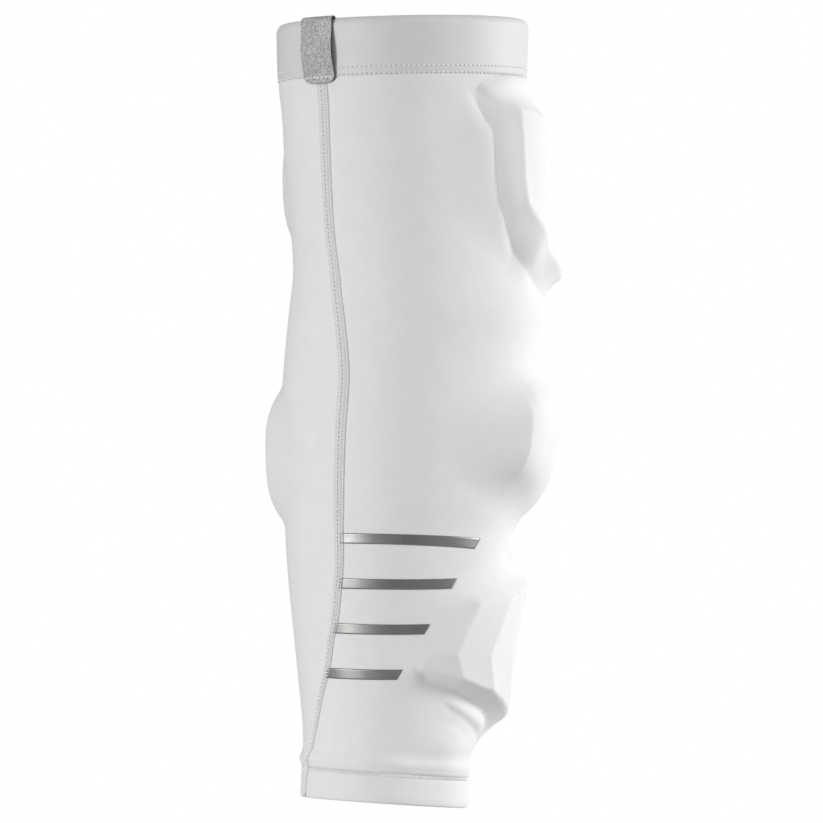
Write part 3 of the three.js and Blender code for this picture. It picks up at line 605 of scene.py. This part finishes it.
def finish_piece(piece, material, slot, *nodes):
    piece.data.materials.append(material)
    if nodes:
        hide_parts(*nodes)
    return piece


STITCH_OVERLAP = 0.4  # of its radius, past each end


def stitched(name, starts, ends, outs, radius):
    """A row of stitches, each a short plump thread from a start to an end, half sunk in the cloth."""
    bead = bmesh.new()
    bmesh.ops.create_uvsphere(bead, u_segments=6, v_segments=5, radius=1)
    plain = bpy.data.meshes.new("plain stitch")
    bead.to_mesh(plain)
    bead.free()
    thread = bmesh.new()
    for start, end, out in zip(starts / 1000, ends / 1000, outs):
        run, out = Vector(end - start), Vector(out)
        side = run.cross(out).normalized()
        turned = Matrix((side, side.cross(run).normalized(), run.normalized())).transposed().to_4x4()
        turned.translation = Vector((start + end) / 2)
        half = run.length / 2 + radius / 1000 * STITCH_OVERLAP
        one = plain.copy()
        one.transform(turned @ Matrix.Diagonal((radius / 1000, radius / 1000, half, 1)))
        thread.from_mesh(one)
        bpy.data.meshes.remove(one)
    bpy.data.meshes.remove(plain)
    return as_piece(name, thread)


# The sleeve

def sleeve_place(u, v, depth):
    column = np.interp(u * len(COLUMN_ANGLES), COLUMN_NUMBERS, COLUMN_LINES)
    share = np.interp(v * (len(ROW_SHARES) - 1), ROW_NUMBERS, ROW_SHARES)
    # the cloth's ends lie just inside the cuff's and the hem's edges, where they are sewn in
    tuck = FIT_GAP / SLEEVE_LENGTH
    share = np.where(v > 0.999, share + tuck, np.where(v < 0.001, share - tuck, share))
    return off_cloth(sleeve_lift, column - swing_at(column, share), share, np.zeros_like(share))


def sleeve_pattern(u, v):
    return GRID_START + 360 * u, HEM_SHARE + (CUFF_SHARE - HEM_SHARE) * v


sleeve = wrapped(
    "knit_sleeve",
    flat_cloth(len(COLUMN_ANGLES), len(ROW_SHARES) - 1),
    sleeve_place,
    sleeve_pattern,
    join_ends=True,
)
wall = sleeve.modifiers.new("cloth wall", "SOLIDIFY")
wall.thickness = FABRIC_WALL / 1000
wall.offset = -1


# The foam pads, under the sleeve

def pad_place(stations):
    def place(u, v, depth):
        angle = mix(stations[0, 0], stations[-1, 0], u)
        top = np.interp(angle, stations[:, 0], stations[:, 1])
        foot = np.interp(angle, stations[:, 0], stations[:, 2])
        share = mix(foot, top, v)
        under = off_cloth(sleeve_lift, angle, share, np.full_like(share, -FABRIC_WALL - FIT_GAP))
        back = on_arm(angle, share, -FABRIC_WALL - FIT_GAP - PAD_BACK)
        return mix(under, back, depth[:, None])
    return place


def foam_pad(name, stations):
    cloth = flat_cloth(90, 60)
    thicken(cloth)
    pad = wrapped(name, cloth, pad_place(stations))
    ease_edges(pad, 0.0006)
    return pad


# The cuff and the hem, each a band of doubled cloth

CUFF_STITCH_INSET = 2.1  # from the sewn edge to the middle of the two rows
CUFF_ROW_SPREAD = 1.65  # from that middle to each row
CUFF_STITCHES = 160
CUFF_DRAW_IN = 1.2  # how far the free edge is drawn in
HEM_STITCH_INSET = 0.9
HEM_ROW_SPREAD = 0.55
HEM_STITCHES = 190
HEM_DRAW_IN = 0.3
DRAW_IN_RUN = 3.4
DRAW_IN_LIMIT = 1.5
CHANNEL_DEPTH = 0.14
CHANNEL_WIDTH = 1.6
SEWN_EDGE_DROP = 0.26
SEWN_EDGE_WIDTH = 1.1
BAND_THREAD_LIFT = 0.14
BAND_THREAD_RADIUS = 0.34
STITCH_HALF = 0.27  # half of a stitch, of the pitch
ZIGZAG_BACK = 0.9  # how far a zigzag's stitch starts and ends from its row, of the spread
ZIGZAG_ON = 0.1


def band_place(edge, sewn, wall, inset, draw_in):
    round_off = wall / 2
    sign = np.sign(edge - sewn)
    height = abs(edge - sewn) * SLEEVE_LENGTH - round_off

    def place(u, v, depth):
        whole = 2 * height + math.pi * round_off
        run = v * whole
        turn = np.clip((run - height) / round_off, 0, math.pi)
        over = height + np.sin(turn) * round_off
        up = np.where(run < height, run, np.where(turn < math.pi, over, whole - run))
        lift = BAND_PROUD - round_off + np.cos(turn) * round_off
        near_edge = np.clip(up / DRAW_IN_RUN - height / DRAW_IN_RUN + 1, 0, DRAW_IN_LIMIT)
        lift -= draw_in * near_edge ** 2
        share = sewn + sign * np.clip(up, 0, None) / SLEEVE_LENGTH
        return on_arm(360 * u + GRID_START, share, lift - band_dimple(up, inset) * (turn < 0.1))
    return place


def band_dimple(away, inset):
    """The shallow channel that the stitching draws in, and the rounding of the sewn edge."""
    channel = CHANNEL_DEPTH * np.exp(-(((away - inset) / CHANNEL_WIDTH) ** 2))
    return channel + SEWN_EDGE_DROP * np.exp(-((away / SEWN_EDGE_WIDTH) ** 2))


def band_piece(name, edge, sewn, wall, inset, draw_in):
    return wrapped(
        name,
        flat_cloth(240, 60),
        band_place(edge, sewn, wall, inset, draw_in),
        lambda u, v: (GRID_START + 360 * u, mix(sewn, edge, 2 * v)),
        join_ends=True,
    )


cuff = band_piece("elastic_cuff", 1, CUFF_SHARE, CUFF_WALL, CUFF_STITCH_INSET, CUFF_DRAW_IN)
hem = band_piece("folded_hem", 0, HEM_SHARE, HEM_WALL, HEM_STITCH_INSET, HEM_DRAW_IN)
for band in (cuff, hem):  # the sewn edge is closed
    close = bmesh.new()
    close.from_mesh(band.data)
    rims = [e for e in close.edges if e.is_boundary]
    bmesh.ops.bridge_loops(close, edges=rims)
    bmesh.ops.recalc_face_normals(close, faces=close.faces)
    close.to_mesh(band.data)
    close.free()
    band.data.shade_smooth()


def band_lift(angle, share):
    return np.full(np.broadcast(angle, share).shape, float(BAND_PROUD))


def outward(lift, angle, share):
    """Which way a surface faces."""
    at = off_cloth(lift, angle, share, np.zeros_like(share))
    return off_cloth(lift, angle, share, np.ones_like(share)) - at


def band_stitches(name, sewn, sign, inset, spread, count, zigzag):
    """Two rows of stitches round a band near its sewn edge, or a zigzag between them."""
    angle = GRID_START + 360 * np.arange(count) / count
    half = STITCH_HALF * 360 / count
    starts, ends, outs = [], [], []
    for across in (-1, 1):
        up = inset + across * spread
        lift = BAND_PROUD + BAND_THREAD_LIFT - band_dimple(up, inset)
        share = np.full(count, sewn + sign * up / SLEEVE_LENGTH)
        rise = sign * spread / SLEEVE_LENGTH if zigzag else 0
        starts.append(on_arm(angle - half, share - across * rise * ZIGZAG_BACK, lift))
        ends.append(on_arm(angle + half, share + across * rise * ZIGZAG_ON, lift))
        outs.append(outward(band_lift, angle, share))
    return stitched(name, *(np.concatenate(row) for row in (starts, ends, outs)), BAND_THREAD_RADIUS)


cuff_stitches = band_stitches(
    "cuff_stitches", CUFF_SHARE, 1, CUFF_STITCH_INSET, CUFF_ROW_SPREAD, CUFF_STITCHES, False
)
hem_stitches = band_stitches(
    "hem_stitches", HEM_SHARE, -1, HEM_STITCH_INSET, HEM_ROW_SPREAD, HEM_STITCHES, True
)


# The flatlock seam: a soft strip with rows of thread over it

def seam_angle(share):
    return curve(SEAM_PATH, 1, share)


def seam_base(angle, share):
    """The cloth that the seam lies on: the sleeve, or the hem where it crosses that."""
    on_hem = smooth((HEM_SHARE - share) * SLEEVE_LENGTH + 1)
    return mix(sleeve_lift(angle, share), BAND_PROUD, on_hem)


SEAM_TOP_SHARE = 1 - (TAB_LENGTH + FIT_GAP) / SLEEVE_LENGTH
SEAM_FOOT_SHARE = 0.002
SEAM_LIFT = 0.1
SEAM_PITCH = 2.1
CLEAR_OF_CLOTH = 0.02
# columns: share, half of the seam's width
SEAM_HALVES = np.array([
    (0.0, 2.3),
    (0.1, 2.5),
    (0.3, 2.9),
    (0.6, 3.1),
    (1.0, 3.45),
])
# columns: place across the seam, from -1 to 1; height off the cloth there
SEAM_PROFILE = np.array([
    (-1.0, 0.04),
    (-0.88, 0.3),
    (-0.66, 0.38),
    (-0.48, 0.2),
    (-0.34, 0.46),
    (-0.22, 0.4),
    (-0.12, 0.14),
    (-0.02, 0.4),
    (0.16, 0.62),
    (0.38, 0.5),
    (0.52, 0.16),
    (0.64, 0.14),
    (0.8, 0.4),
    (0.92, 0.26),
    (1.0, 0.03),
])


def seam_half(share):
    return np.interp(share, SEAM_HALVES[:, 0], SEAM_HALVES[:, 1])


def seam_height(across):
    return np.interp(across, SEAM_PROFILE[:, 0], SEAM_PROFILE[:, 1])


def seam_place(u, v, depth):
    across = 2 * u - 1
    share = mix(SEAM_FOOT_SHARE, SEAM_TOP_SHARE, v)
    angle = seam_angle(share) + across * seam_half(share) / AROUND
    out = mix(seam_height(across) + SEAM_LIFT, CLEAR_OF_CLOTH, depth)
    return off_cloth(seam_base, angle, share, out)


strip = flat_cloth(40, 300)
thicken(strip)
seam = wrapped(
    "flatlock_strip",
    strip,
    seam_place,
    lambda u, v: (6 * u / AROUND, mix(SEAM_FOOT_SHARE, SEAM_TOP_SHARE, v)),
)


def seam_threads(name, rows, pitch, radius, lean):
    """Stitches up the seam: each row has its start and end across the seam and its height.

    lean is half of a stitch's run up the seam, of the pitch.
    """
    count = int((SEAM_TOP_SHARE - SEAM_FOOT_SHARE) * SLEEVE_LENGTH / pitch) - 1
    share = SEAM_FOOT_SHARE + (np.arange(count) + 0.5) * pitch / SLEEVE_LENGTH
    starts, ends, outs = [], [], []
    reach = lean * pitch / SLEEVE_LENGTH
    for low_across, high_across, height in rows:
        foot, top = share - reach, share + reach
        low = seam_angle(foot) + low_across * seam_half(foot) / AROUND
        high = seam_angle(top) + high_across * seam_half(top) / AROUND
        starts.append(off_cloth(seam_base, low, foot, np.full(count, height)))
        ends.append(off_cloth(seam_base, high, top, np.full(count, height)))
        outs.append(outward(seam_base, low, share))
    return stitched(name, *(np.concatenate(row) for row in (starts, ends, outs)), radius)


seam_rows = seam_threads(
    "seam_needle_threads", [(-0.36, -0.24, 0.54), (0.02, 0.1, 0.62)], SEAM_PITCH, radius=0.35, lean=0.27
)
seam_edge_threads = seam_threads(
    "seam_edge_threads", [(-0.86, -0.7, 0.44), (0.78, 0.84, 0.48)], pitch=1.6, radius=0.27, lean=0.28
)
seam_ladder = seam_threads(
    "seam_looper_threads", [(0.42, 1.02, 0.66)], pitch=1.45, radius=0.17, lean=0.1
)


# The reflective bars

FILM_THICKNESS = 0.26
FILM_UNDERSIDE = 0.03
FILM_OVER_SEAM = 0.12
BAR_START = 0.42  # across the seam, of its half width
BAR_COLUMNS_CROWD = 1.15  # above 1, the film's columns lie closer at the seam


def bar_piece(number, end, droop):
    middle = FIRST_BAR_SHARE - number * BAR_PITCH / SLEEVE_LENGTH

    def place(u, v, depth):
        side = 2 * v - 1
        share = middle + side * BAR_HEIGHT / 2 / SLEEVE_LENGTH
        half = seam_half(share)
        start = seam_angle(share) + BAR_START * half / AROUND
        finish = end + side * BAR_SLANT / 2 / AROUND
        angle = mix(start, finish, u ** BAR_COLUMNS_CROWD)
        # its end lies over the seam's near edge, under the threads
        across_seam = np.clip((angle - seam_angle(share)) * AROUND / half, -1, 1)
        out = np.maximum(FILM_THICKNESS, seam_height(across_seam) + FILM_OVER_SEAM)
        drooped = share - droop * u ** 3 / SLEEVE_LENGTH
        return off_cloth(sleeve_lift, angle, drooped, mix(out, FILM_UNDERSIDE, depth))

    film = flat_cloth(110, 8)
    thicken(film)
    return wrapped(
        f"bar_film_{number + 1}", film, place, lambda u, v: (mix(-120, end, u), middle + v * 0.013)
    )


# The tab: one ribbon, up the outside of the cuff, over its edge and down inside

TAB_RIBBON = 0.8
TAB_BOW = 1.5
TAB_FACE_WIDTH = 18.8  # the ribbon's own width, inside the solid's
TAB_SHIFT = -0.8  # towards the back of the arm
TAB_STITCHES = 7
TAB_STITCH_PITCH = 2.3
TAB_STITCH_HALF = 0.75
TAB_STITCH_INSET = 2.6
TAB_THREAD_LIFT = 0.12
TAB_THREAD_RADIUS = 0.42


def tab_row(t):
    """Share, lift, turn, bow and run along the ribbon.

    t runs from 0 at its outer foot to 1 at its inner one.
    """
    top = 1 - CUFF_WALL / 2 / SLEEVE_LENGTH
    radius = CUFF_WALL / 2 + FIT_GAP + TAB_RIBBON / 2
    leg = TAB_LENGTH - CUFF_WALL / 2
    run = t * (2 * leg + math.pi * radius)
    turn = np.clip((run - leg) / radius, 0, math.pi)
    up = np.clip(run / leg, 0, 1)
    down = np.clip((run - leg - math.pi * radius) / leg, 0, 1)
    share = mix(TAB_FOOT_SHARE, top, up) + np.sin(turn) * radius / SLEEVE_LENGTH
    share = share - down * (top - TAB_FOOT_SHARE)
    lift = BAND_PROUD - CUFF_WALL / 2 + np.cos(turn) * radius
    bow = TAB_BOW * np.sin(math.pi * up) ** 2 * (turn < 0.01)
    return share, lift, turn, bow, run


def tab_place(u, v, depth):
    share, lift, turn, bow, run = tab_row(v)
    corner = TAB_CORNER - np.minimum(run, TAB_CORNER)
    half = TAB_FACE_WIDTH / 2 - (TAB_CORNER - np.sqrt(TAB_CORNER ** 2 - corner ** 2))
    across = 2 * u - 1
    out = (0.5 - depth) * TAB_RIBBON
    angle = seam_angle(np.clip(share, 0, 1)) + (TAB_SHIFT + across * half) / AROUND
    stand_off = bow * (0.75 + 0.75 * np.maximum(across, 0) ** 2)  # most at its right edge
    share = share + np.sin(turn) * out / SLEEVE_LENGTH
    return on_arm(angle, share, lift + stand_off + np.cos(turn) * out)


ribbon = flat_cloth(28, 90)
thicken(ribbon)
# the dark edges and underside are partly the ribbon's dark lining, partly painted shade for the gap
# between the tab and the cuff
for face in ribbon.faces:  # the ribbon's edges and underside are dark
    face.material_index = int(any(vert.co.z > 0.5 for vert in face.verts))
tab = wrapped("folded_ribbon_tab", ribbon, tab_place, lambda u, v: (18 * u, 0.17 * v))
ease_edges(tab, 0.0002)


def tab_stitches():
    across = (np.arange(TAB_STITCHES) - (TAB_STITCHES - 1) / 2) * TAB_STITCH_PITCH + TAB_SHIFT
    share = np.full(TAB_STITCHES, TAB_FOOT_SHARE + TAB_STITCH_INSET / SLEEVE_LENGTH)
    lift = BAND_PROUD + FIT_GAP + TAB_RIBBON + TAB_THREAD_LIFT
    angle = seam_angle(share)
    starts = on_arm(angle + (across - TAB_STITCH_HALF) / AROUND, share, lift)
    ends = on_arm(angle + (across + TAB_STITCH_HALF) / AROUND, share, lift)
    outs = outward(band_lift, angle + across / AROUND, share)
    return stitched("tab_stitches", starts, ends, outs, TAB_THREAD_RADIUS)


tab_threads = tab_stitches()


# Finishes. Their lengths are in metres

WALE_PITCH = 0.00062
COURSE_PITCH = 0.0008
COVER_PITCH = 0.0007
# half the width of a row of painted shade spots between stitches
SHADE_SPOT_HALF = 0.00042
# columns: middle, half width, across the seam's pattern
NEEDLE_GROOVE = (0.00264, 0.00034)
SECOND_GROOVE = (0.00474, 0.0003)


class Finish:
    """A material and short ways to add its nodes."""

    def __init__(self, name):
        self.material = bpy.data.materials.new(name)
        self.material.use_nodes = True
        self.tree = self.material.node_tree
        self.shader = self.tree.nodes["Principled BSDF"]

    def feed(self, socket, value):
        if isinstance(value, bpy.types.NodeSocket):
            self.tree.links.new(value, socket)
        else:
            socket.default_value = value

    def node(self, kind, inputs=(), **settings):
        made = self.tree.nodes.new(kind)
        for key, value in settings.items():
            setattr(made, key, value)
        for key, value in dict(inputs).items():
            self.feed(made.inputs[key], value)
        return made

    def set(self, **values):
        for key, value in values.items():
            self.feed(self.shader.inputs[key.replace("_", " ")], value)
        return self

    def weave(self):
        return self.node("ShaderNodeUVMap", uv_map="weave").outputs["UV"]

    def place(self):
        return self.node("ShaderNodeTexCoord").outputs["Object"]

    def axis(self, where, name):
        return self.node("ShaderNodeSeparateXYZ", {"Vector": where}).outputs[name]

    def noise(self, where, scale, detail=2.0, roughness=0.5):
        inputs = {"Vector": where, "Scale": scale, "Detail": detail, "Roughness": roughness}
        return self.node("ShaderNodeTexNoise", inputs).outputs["Fac"]

    def waves(self, where, pitch, direction, distortion=0.0, start=0.0):
        """Soft stripes a pitch apart, in metres, with a dark line at the start."""
        inputs = {
            "Vector": where,
            "Scale": math.pi / 10 / pitch,  # at scale 1 the node's waves are pi / 10 apart
            "Distortion": distortion,
            "Phase Offset": -2 * math.pi * start / pitch,
        }
        return self.node("ShaderNodeTexWave", inputs, bands_direction=direction).outputs["Fac"]

    def maths(self, operation, a, b):
        return self.node("ShaderNodeMath", {0: a, 1: b}, operation=operation).outputs[0]

    def stripe(self, value, middle, half):
        """1 where a value lies within half of the middle, else 0."""
        inputs = {0: value, 1: middle, 2: half}
        return self.node("ShaderNodeMath", inputs, operation="COMPARE").outputs[0]

    def painted_stitch_shade(self, where, rows, pitch, start):
        """Painted shade: dark spots midway between stitches, along rows at the given places."""
        along = self.waves(where, pitch, "X", start=start)
        up = self.axis(where, "Y")
        on_row = 0.0
        for row in rows:
            on_row = self.maths("ADD", self.stripe(up, row, SHADE_SPOT_HALF), on_row)
        return self.maths("MULTIPLY", on_row, self.maths("POWER", along, 2.5))

    def blend(self, amount, a, b):
        mixed = self.node("ShaderNodeMix", {"Factor": amount}, data_type="RGBA")
        for socket, value in ((mixed.inputs[6], a), (mixed.inputs[7], b)):
            self.feed(socket, (*value, 1) if isinstance(value, tuple) else value)
        return mixed.outputs[2]

    def between(self, value, low, high):
        inputs = {"Value": value, "To Min": low, "To Max": high}
        return self.node("ShaderNodeMapRange", inputs).outputs[0]

    def bump(self, height, strength, distance):
        inputs = {"Height": height, "Strength": strength, "Distance": distance}
        return self.set(Normal=self.node("ShaderNodeBump", inputs).outputs["Normal"])


def knit_finish(name, light, shade, strength, rows=(), pitch=0.002, start=0.0, gloss=0.78):
    """A fine jersey: wales along the arm, courses round it, and a faint unevenness in its white."""
    finish = Finish(name)
    where = finish.weave()
    wales = finish.waves(where, WALE_PITCH, "X", 0.5)
    courses = finish.waves(where, COURSE_PITCH, "Y", 0.7)
    loops = finish.maths("MULTIPLY", wales, finish.between(courses, 0.5, 1.0))
    cloudy = finish.noise(where, 110, 3.0)
    fibres = finish.noise(where, 1300, 3.0, 0.65)
    cloudy = finish.maths("MULTIPLY", cloudy, 0.8)
    tone = finish.maths("ADD", finish.maths("MULTIPLY", loops, 0.2), cloudy)
    colour = finish.blend(tone, shade, light)
    height = finish.maths("ADD", finish.maths("MULTIPLY", loops, 0.45), fibres)
    if rows:
        # painted shade between the stitches: darker spots along the rows, also sunk a little in the bump
        shade_spots = finish.painted_stitch_shade(where, rows, pitch, start)
        spot_shade_colour = tuple(c * 0.42 for c in shade)
        colour = finish.blend(finish.maths("MULTIPLY", shade_spots, 0.26), colour, spot_shade_colour)
        height = finish.maths("SUBTRACT", height, finish.maths("MULTIPLY", shade_spots, 2.0))
    finish.set(Base_Color=colour)
    finish.set(Roughness=finish.between(fibres, gloss, gloss + 0.17))
    finish.set(Sheen_Weight=0.04, Sheen_Roughness=0.4)
    return finish.bump(height, strength, 0.0003).material


def row_places(sewn, sign, inset, spread):
    """Where a band's two rows of stitches lie on its weave."""
    return tuple((sewn * SLEEVE_LENGTH + sign * (inset + side * spread)) / 1000 for side in (-1, 1))


def round_pitch(count):
    return 360 / count * AROUND / 1000


sleeve_knit = knit_finish("sleeve_knit", (0.86, 0.858, 0.862), (0.79, 0.787, 0.793), 0.28)
# the band stitches start here round the band; the painted shade spots lie midway between them
first_shade_spot = GRID_START * AROUND / 1000
cuff_knit = knit_finish(
    "cuff_knit", (0.74, 0.736, 0.742), (0.68, 0.676, 0.685), 0.25,
    row_places(CUFF_SHARE, 1, CUFF_STITCH_INSET, CUFF_ROW_SPREAD), round_pitch(CUFF_STITCHES),
    first_shade_spot, gloss=0.46,
)
hem_knit = knit_finish(
    "hem_knit", (0.84, 0.838, 0.842), (0.79, 0.787, 0.793), 0.25,
    row_places(HEM_SHARE, -1, HEM_STITCH_INSET, HEM_ROW_SPREAD), round_pitch(HEM_STITCHES),
    first_shade_spot,
)


def seam_finish():
    """The seam's covering threads, packed close, with painted shade: darker in the gaps between them,
    along its second groove, and in spots along its needle groove.
    """
    finish = Finish("seam_cover")
    where = finish.weave()
    packed = finish.waves(where, COVER_PITCH, "Y", 0.8)
    across = finish.axis(where, "X")
    first_thread = SEAM_FOOT_SHARE * SLEEVE_LENGTH + SEAM_PITCH / 2
    up = finish.waves(where, SEAM_PITCH / 1000, "Y", start=first_thread / 1000)
    groove, second = finish.stripe(across, *NEEDLE_GROOVE), finish.stripe(across, *SECOND_GROOVE)
    # painted shade: dark spots along the needle groove, one to a stitch, and a faint darkening along the
    # second groove
    shade_spots = finish.maths("MULTIPLY", groove, finish.maths("POWER", up, 2.0))
    second = finish.maths("MULTIPLY", second, 0.16)
    painted_groove_shade = finish.maths("ADD", finish.maths("MULTIPLY", shade_spots, 0.6), second)
    # the packed threads, darker in the gaps between them: painted shade
    threads_with_gap_shade = finish.blend(packed, (0.67, 0.667, 0.675), (0.83, 0.828, 0.832))
    finish.set(Base_Color=finish.blend(painted_groove_shade, threads_with_gap_shade, (0.26, 0.258, 0.265)))
    finish.set(Roughness=finish.between(packed, 0.7, 0.88), Sheen_Weight=0.12)
    return finish.bump(finish.maths("SUBTRACT", packed, shade_spots), 0.35, 0.0003).material


seam_cover = seam_finish()


def thread_finish():
    finish = Finish("sewing_thread")
    where = finish.place()
    twist = finish.noise(where, 3200, 1.0)
    finish.set(Base_Color=finish.blend(twist, (0.86, 0.857, 0.865), (0.95, 0.948, 0.952)))
    finish.set(Roughness=finish.between(twist, 0.5, 0.75), Sheen_Weight=0.2)
    return finish.bump(twist, 0.3, 0.0001).material


def film_finish():
    """Dark grey reflective film: glass grain in a satin binder, worn a little unevenly."""
    finish = Finish("reflective_film")
    where = finish.place()
    grain = finish.noise(where, 1500, 3.0, 0.7)
    patches = finish.noise(where, 130, 3.0, 0.6)
    finish.set(Base_Color=finish.blend(grain, (0.23, 0.23, 0.224), (0.34, 0.34, 0.334)))
    finish.set(Metallic=1.0)
    finish.set(Roughness=finish.between(patches, 0.28, 0.56))
    return finish.bump(grain, 0.14, 0.00012).material


def ribbon_finish():
    finish = Finish("tab_ribbon")
    where = finish.place()
    grain = finish.noise(where, 1000, 3.0, 0.75)
    speckle = finish.node("ShaderNodeValToRGB", {"Fac": grain})
    low, high = speckle.color_ramp.elements
    low.position, low.color = 0.38, (0.27, 0.268, 0.268, 1)
    high.position, high.color = 0.6, (0.58, 0.576, 0.576, 1)
    finish.set(Base_Color=speckle.outputs["Color"], Metallic=0.1)
    finish.set(Roughness=finish.between(grain, 0.45, 0.7))
    return finish.bump(grain, 0.4, 0.00012).material


# The ribbon's near-black underside and edges: partly its dark lining, partly painted shade in the gap
# under the tab.
def underside_and_shade_finish():
    finish = Finish("tab_underside_and_shade")
    weave = finish.noise(finish.place(), 1800, 2.0)
    finish.set(Base_Color=finish.blend(weave, (0.035, 0.035, 0.037), (0.07, 0.07, 0.072)))
    finish.set(Roughness=0.85)
    return finish.bump(weave, 0.3, 0.0001).material


def foam_finish():
    finish = Finish("pad_foam")
    where = finish.place()
    cells = finish.node("ShaderNodeTexVoronoi", {"Vector": where, "Scale": 900}).outputs["Distance"]
    tone = finish.noise(where, 60, 2.0)
    finish.set(Base_Color=finish.blend(tone, (0.66, 0.66, 0.65), (0.74, 0.74, 0.73)), Roughness=0.9)
    return finish.bump(cells, 0.35, 0.0002).material


thread = thread_finish()
film = film_finish()
ribbon_face = ribbon_finish()
ribbon_underside_and_shade = underside_and_shade_finish()
foam = foam_finish()

finish_piece(sleeve, sleeve_knit, "sleeve_knit", "sleeve_body")
finish_piece(cuff, cuff_knit, "cuff_elastic", "top_cuff")
finish_piece(hem, hem_knit, "hem_knit", "bottom_hem")
finish_piece(seam, seam_cover, "seam_thread", "flatlock_seam")
finish_piece(tab, ribbon_face, "tab_ribbon", "ribbon_tab")
for stitches in (cuff_stitches, hem_stitches, seam_rows, seam_edge_threads, seam_ladder, tab_threads):
    finish_piece(stitches, thread, "seam_thread")
bars = [
    finish_piece(bar_piece(number, end, droop), film, "reflective_film", f"reflective_bar_{number + 1}")
    for number, (end, droop) in enumerate(BARS)
]
for name, node, stations in (
    ("upper_arm_foam", "upper_arm_pad", UPPER_RIM),
    ("elbow_foam", "elbow_pad", ELBOW_DOME),
    ("forearm_foam", "forearm_pad", FOREARM_RIM),
):
    pad = finish_piece(foam_pad(name, stations), foam, "pad_foam", node)

# the dark underside and edges: partly lining, partly painted shade for the gap under the tab
tab.data.materials.append(ribbon_underside_and_shade)


# The camera, the lights and the floor

SENSOR_WIDTH = 36
PICTURE_PIXELS = 823
FOCAL_PIXELS = 5625  # the lens's focal length, in the picture's pixels
CAMERA_AWAY = 2.7
LOOKED_AT = (0.0007, 0, 0.0185)
FLOOR_RADIUS = 0.9
FLOOR_HEIGHT = -0.26


def aim(thing, at, target):
    thing.location = at
    thing.rotation_euler = (Vector(target) - Vector(at)).to_track_quat("-Z", "Y").to_euler()
    bpy.context.scene.collection.objects.link(thing)


camera = bpy.data.objects.new("camera", bpy.data.cameras.new("camera"))
camera.data.sensor_width = SENSOR_WIDTH
camera.data.lens = SENSOR_WIDTH * FOCAL_PIXELS / PICTURE_PIXELS
camera.data.clip_end = 50
aim(camera, (LOOKED_AT[0], -CAMERA_AWAY, LOOKED_AT[2]), LOOKED_AT)
bpy.context.scene.camera = camera


def soft_light(name, at, size, watts):
    lamp = bpy.data.lights.new(name, "AREA")
    lamp.shape = "DISK"
    lamp.size = size
    lamp.energy = watts
    aim(bpy.data.objects.new(name, lamp), at, (0, 0, 0))


soft_light("key_light", (2.2, 0.0, 0.5), 0.8, 40)
soft_light("fill_light", (-2.08, -1.73, 0.35), 0.9, 39.5)

floor = bmesh.new()
bmesh.ops.create_circle(floor, cap_ends=True, cap_tris=True, segments=96, radius=FLOOR_RADIUS)
bmesh.ops.translate(floor, verts=floor.verts, vec=(0, 0, FLOOR_HEIGHT))
ground = as_object("floor", floor)
pale = Finish("floor")
pale.set(Base_Color=(0.66, 0.66, 0.66, 1), Roughness=0.9)
ground.data.materials.append(pale.material)

world = bpy.data.worlds.new("studio")
bpy.context.scene.world = world
world.use_nodes = True
nodes, links = world.node_tree.nodes, world.node_tree.links
seen = nodes.new("ShaderNodeLightPath")
glow_side = nodes.new("ShaderNodeVectorMath")
glow_side.operation = "DOT_PRODUCT"
glow_side.inputs[1].default_value = (0.45, 0.1, 0.88)
links.new(nodes.new("ShaderNodeTexCoord").outputs["Generated"], glow_side.inputs[0])
glow = nodes.new("ShaderNodeMapRange")  # the room's light, less from below and from the left
glow.inputs["From Min"].default_value = -1
glow.inputs["To Min"].default_value = 0.1
glow.inputs["To Max"].default_value = 0.5
links.new(glow_side.outputs["Value"], glow.inputs["Value"])
backdrop = nodes.new("ShaderNodeMixRGB")
backdrop.inputs["Color2"].default_value = (1, 1, 1, 1)
links.new(glow.outputs[0], backdrop.inputs["Color1"])
links.new(seen.outputs["Is Camera Ray"], backdrop.inputs["Fac"])
links.new(backdrop.outputs["Color"], nodes["Background"].inputs["Color"])
bpy.context.scene.view_settings.view_transform = "Standard"
